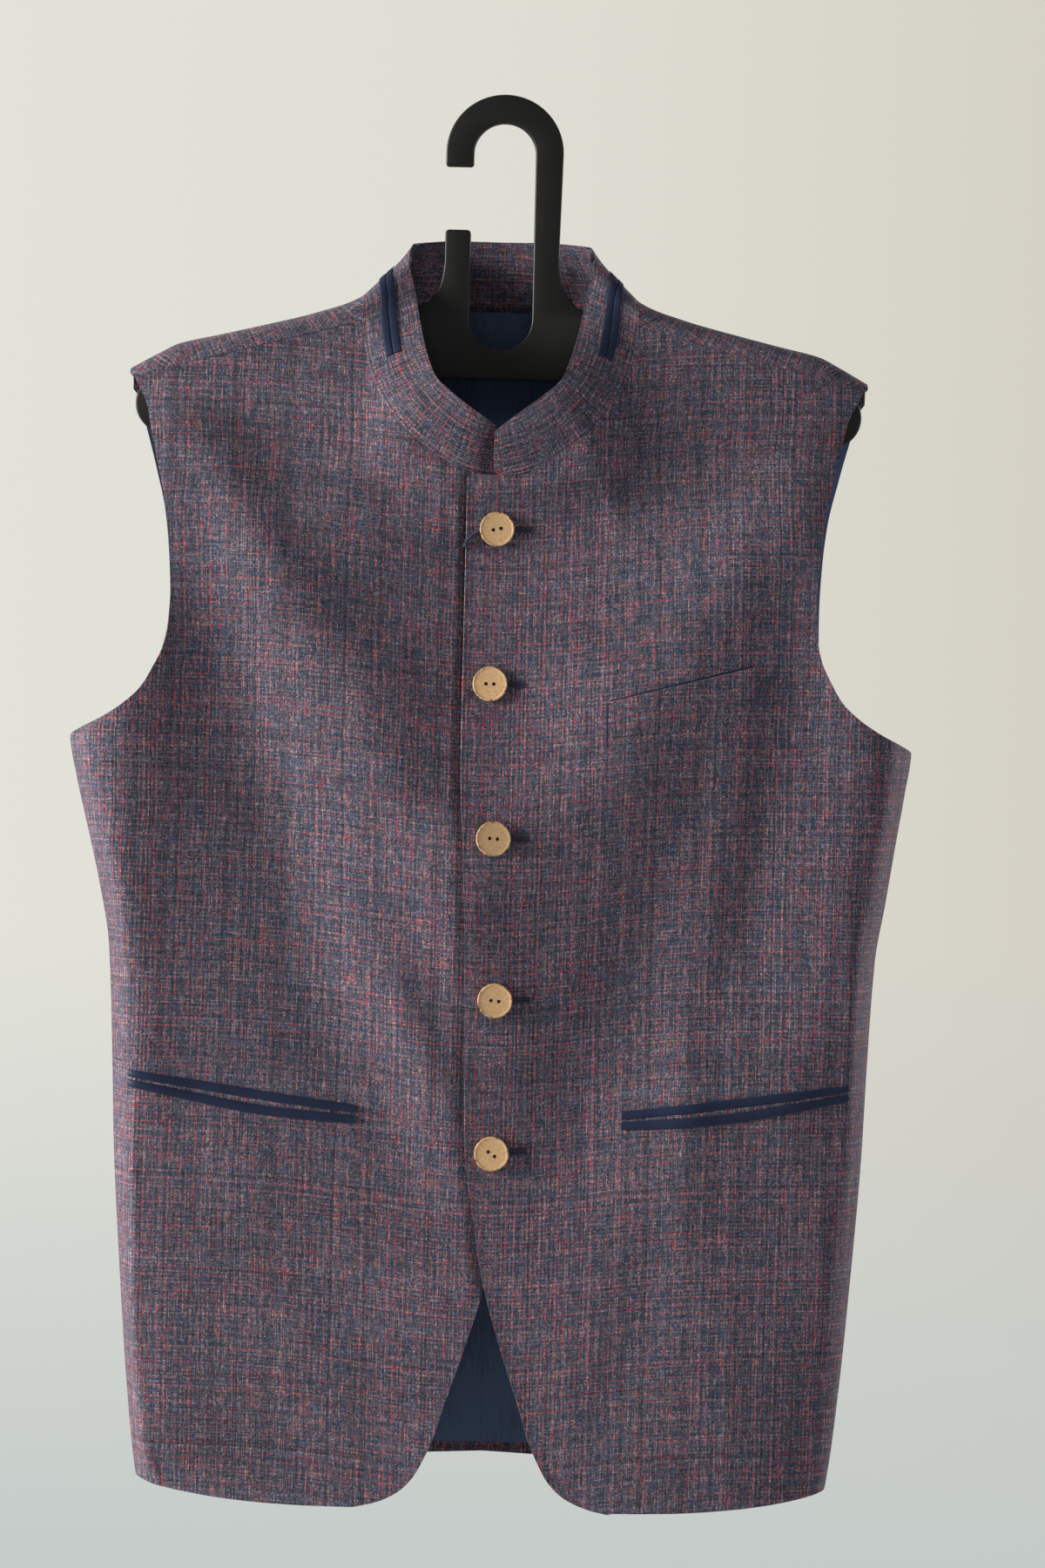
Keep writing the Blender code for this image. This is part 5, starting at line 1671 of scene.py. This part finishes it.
class JacketHanger(bpy.types.Operator):
    """Makes the flat moulded hanger with its hook and slot, its edges softened"""

    bl_idname = "jacket.make_hanger"
    bl_label = "Hanger"

    def arm_edge(self):
        """Edge of one arm, from the shank down, along the shoulder, round the end and back under."""
        points = smooth_line(SHANK_FLARE, SHANK_FLARE_STEPS, SHANK_FLARE_ROUNDS).tolist()
        top_end_x = ARM_END_X - ARM_END_RADIUS * ARM_TOP_END_SHARE
        for step in range(ARM_TOP_STEPS + 1):
            x = between(ARM_TOP_START_X, top_end_x, step / ARM_TOP_STEPS)
            start_drop = ARM_TOP_START_DROP if step == 0 else 0.0
            points.append((x, ridge_z(x) - ARM_TOP_DROP - start_drop))
        end = (ARM_END_X - ARM_END_RADIUS, ARM_END_CENTRE_Z)
        return points + arc(end, ARM_END_RADIUS, 45.0, -90.0, ARM_END_STEPS) + ARM_UNDERSIDE

    def outline(self):
        """Edge of the plate seen from the front, from the hook's tip round to it again."""
        hook = HOOK_CENTRE
        stub_z = STUB_TOP_Z - STUB_ROUND
        slot_end = (0.0, SLOT_BOTTOM_Z + SLOT_HALF_WIDTH)
        edge = arc(hook, HOOK_INNER_RADIUS, 180.0, 0.0, HOOK_STEPS) + [(SLOT_HALF_WIDTH, SLOT_TOP_Z)]
        edge += arc(slot_end, SLOT_HALF_WIDTH, 0.0, -180.0, SLOT_STEPS) + [(-SLOT_HALF_WIDTH, stub_z)]
        edge += arc((-SLOT_HALF_WIDTH - STUB_ROUND, stub_z), STUB_ROUND, 30.0, 90.0, 4)
        edge += arc((-SHANK_OUTER_X + STUB_ROUND, stub_z), STUB_ROUND, 90.0, 180.0, CORNER_STEPS)
        edge += [(-x, z) for x, z in self.arm_edge()]
        edge += list(reversed(self.arm_edge()))
        edge += arc(hook, HOOK_OUTER_RADIUS, 0.0, 180.0, HOOK_STEPS)
        low = hook[1] - HOOK_TIP_DROP + HOOK_TIP_ROUND
        for x, start in (
            (hook[0] - HOOK_OUTER_RADIUS + HOOK_TIP_ROUND, 180.0),
            (hook[0] - HOOK_INNER_RADIUS - HOOK_TIP_ROUND, 270.0),
        ):
            edge += arc((x, low), HOOK_TIP_ROUND, start, start + 90.0, CORNER_STEPS)
        return edge

    def execute(self, context):
        hard = context.scene.jacket_hard
        soft = {"bevel_depth": hard.plate_round, "bevel_resolution": 2, "offset": -hard.plate_round}
        plate = mesh_from_curve(
            "hanger_plate",
            [(x, z, 0.0) for x, z in self.outline()],
            True,
            dimensions="2D",
            fill_mode="BOTH",
            extrude=hard.plate_thickness / 2.0 - hard.plate_round,
            **soft,
        )
        move_points(plate, lambda x, y, z: np.stack((x, z, y), axis=1))
        bpy.ops.object.mode_set(mode="EDIT")
        bpy.ops.mesh.select_all(action="SELECT")
        bpy.ops.mesh.remove_doubles(threshold=HANGER_MERGE_DISTANCE)
        bpy.ops.mesh.normals_make_consistent(inside=False)
        bpy.ops.object.mode_set(mode="OBJECT")
        bpy.ops.object.shade_smooth_by_angle(angle=HANGER_SMOOTH_ANGLE)
        dress(plate, "hanger", "plastic")
        return {"FINISHED"}


class JacketStudio(bpy.types.Operator):
    """Sets up the camera, soft lights, pale room and floor"""

    bl_idname = "jacket.make_studio"
    bl_label = "Studio"

    def light(self, lamp, power):
        """A soft area light that faces the middle of the jacket."""
        glow = bpy.data.lights.new(lamp.name, "AREA")
        glow.shape = "RECTANGLE"
        glow.size, glow.size_y = lamp.size
        glow.energy = power
        glow.color = linear(lamp.tone)[:3]
        aim = JACKET_MIDDLE - Vector(lamp.place)
        turned = aim.to_track_quat("-Z", "Y").to_matrix().to_4x4()
        add_object(lamp.name, glow).matrix_world = Matrix.Translation(lamp.place) @ turned

    def room(self, studio):
        """Even pale room, slightly brighter and greener towards the light."""
        world = bpy.data.worlds.new("pale_room")
        world.use_nodes = True
        world.node_tree.nodes.clear()
        node = partial(add_node, world.node_tree)
        apart = node("SeparateXYZ", node("TexCoord").outputs["Generated"])
        across = node("MapRange", apart.outputs["X"], -ROOM_TONES_REACH, ROOM_TONES_REACH)
        tones = [(place, linear(hex_tone)) for place, hex_tone in ROOM_TONES]
        upper = set_ramp(node("ValToRGB", across), tones)
        low = node("MapRange", apart.outputs["Z"], ROOM_LOW_START, ROOM_LOW_END)
        wall = node("Mix", low, upper, linear(ROOM_LOW_TONE), data_type="RGBA")
        shown = node("Background", wall, 1.0)
        lit = node("Background", linear(studio.wall_tone), studio.room_light)
        seen = node("LightPath").outputs["Is Camera Ray"]
        node("OutputWorld", Surface=node("MixShader", seen, lit, shown))
        bpy.context.scene.world = world

    def execute(self, context):
        studio = context.scene.jacket_studio
        scene = context.scene
        lens = bpy.data.cameras.new("front_camera")
        lens.sensor_fit = "VERTICAL"
        lens.sensor_height = 24.0
        lens.lens = studio.lens_mm
        lens.clip_start = 0.01
        camera = add_object("front_camera", lens)
        place = Matrix.Translation((studio.camera_x, studio.camera_y, studio.camera_z))
        upright = Matrix.Rotation(math.radians(90.0), 4, "X")
        camera.matrix_world = place @ upright @ Matrix.Rotation(studio.camera_roll, 4, "Z")
        scene.camera = camera
        scene.view_settings.view_transform = "Standard"
        scene.view_settings.look = "None"
        self.room(studio)
        for lamp in LAMPS:
            self.light(lamp, getattr(studio, lamp.name + "_power"))
        circle = bpy.ops.mesh.primitive_circle_add
        floor = add_primitive(
            "floor", circle, vertices=96, radius=FLOOR_RADIUS, fill_type="NGON", location=(0, 0, 0)
        )
        floor.data.transform(Matrix.Translation((0.0, 0.0, FLOOR_Z)))
        floor.data.materials.append(floor_paint("pale_floor_paint"))
        return {"FINISHED"}


class JacketPanel(bpy.types.Panel):
    """Lists the jacket's pieces and their sizes"""

    bl_idname = "VIEW3D_PT_jacket"
    bl_label = "Jacket"
    bl_space_type = "VIEW_3D"
    bl_region_type = "UI"
    bl_category = "Jacket"

    def draw(self, context):
        layout = self.layout
        for title, settings in (
            ("Cloth", context.scene.jacket_cloth),
            ("Buttons and hanger", context.scene.jacket_hard),
            ("Studio", context.scene.jacket_studio),
        ):
            box = layout.box()
            box.label(text=title)
            for name in settings.bl_rna.properties.keys():
                if name not in ("rna_type", "name"):
                    box.prop(settings, name)
        for maker in MAKERS:
            layout.operator(maker.bl_idname)


MAKERS = (
    JacketFronts,
    JacketBack,
    JacketLining,
    JacketCollar,
    JacketPipings,
    JacketWelt,
    JacketPockets,
    JacketButtons,
    JacketButtonholes,
    JacketLoops,
    JacketHanger,
    JacketStudio,
)
SETTINGS = (
    ("jacket_cloth", JacketClothSettings),
    ("jacket_hard", JacketHardSettings),
    ("jacket_studio", JacketStudioSettings),
)


def register():
    for name, settings in SETTINGS:
        bpy.utils.register_class(settings)
        setattr(bpy.types.Scene, name, PointerProperty(type=settings))
    for part in (*MAKERS, JacketPanel):
        bpy.utils.register_class(part)


def unregister():
    for part in reversed((*MAKERS, JacketPanel)):
        bpy.utils.unregister_class(part)
    for name, settings in reversed(SETTINGS):
        delattr(bpy.types.Scene, name)
        bpy.utils.unregister_class(settings)


def main():
    register()
    for maker in MAKERS:
        group, name = maker.bl_idname.split(".")
        getattr(getattr(bpy.ops, group), name)()


if __name__ == "__main__":
    main()
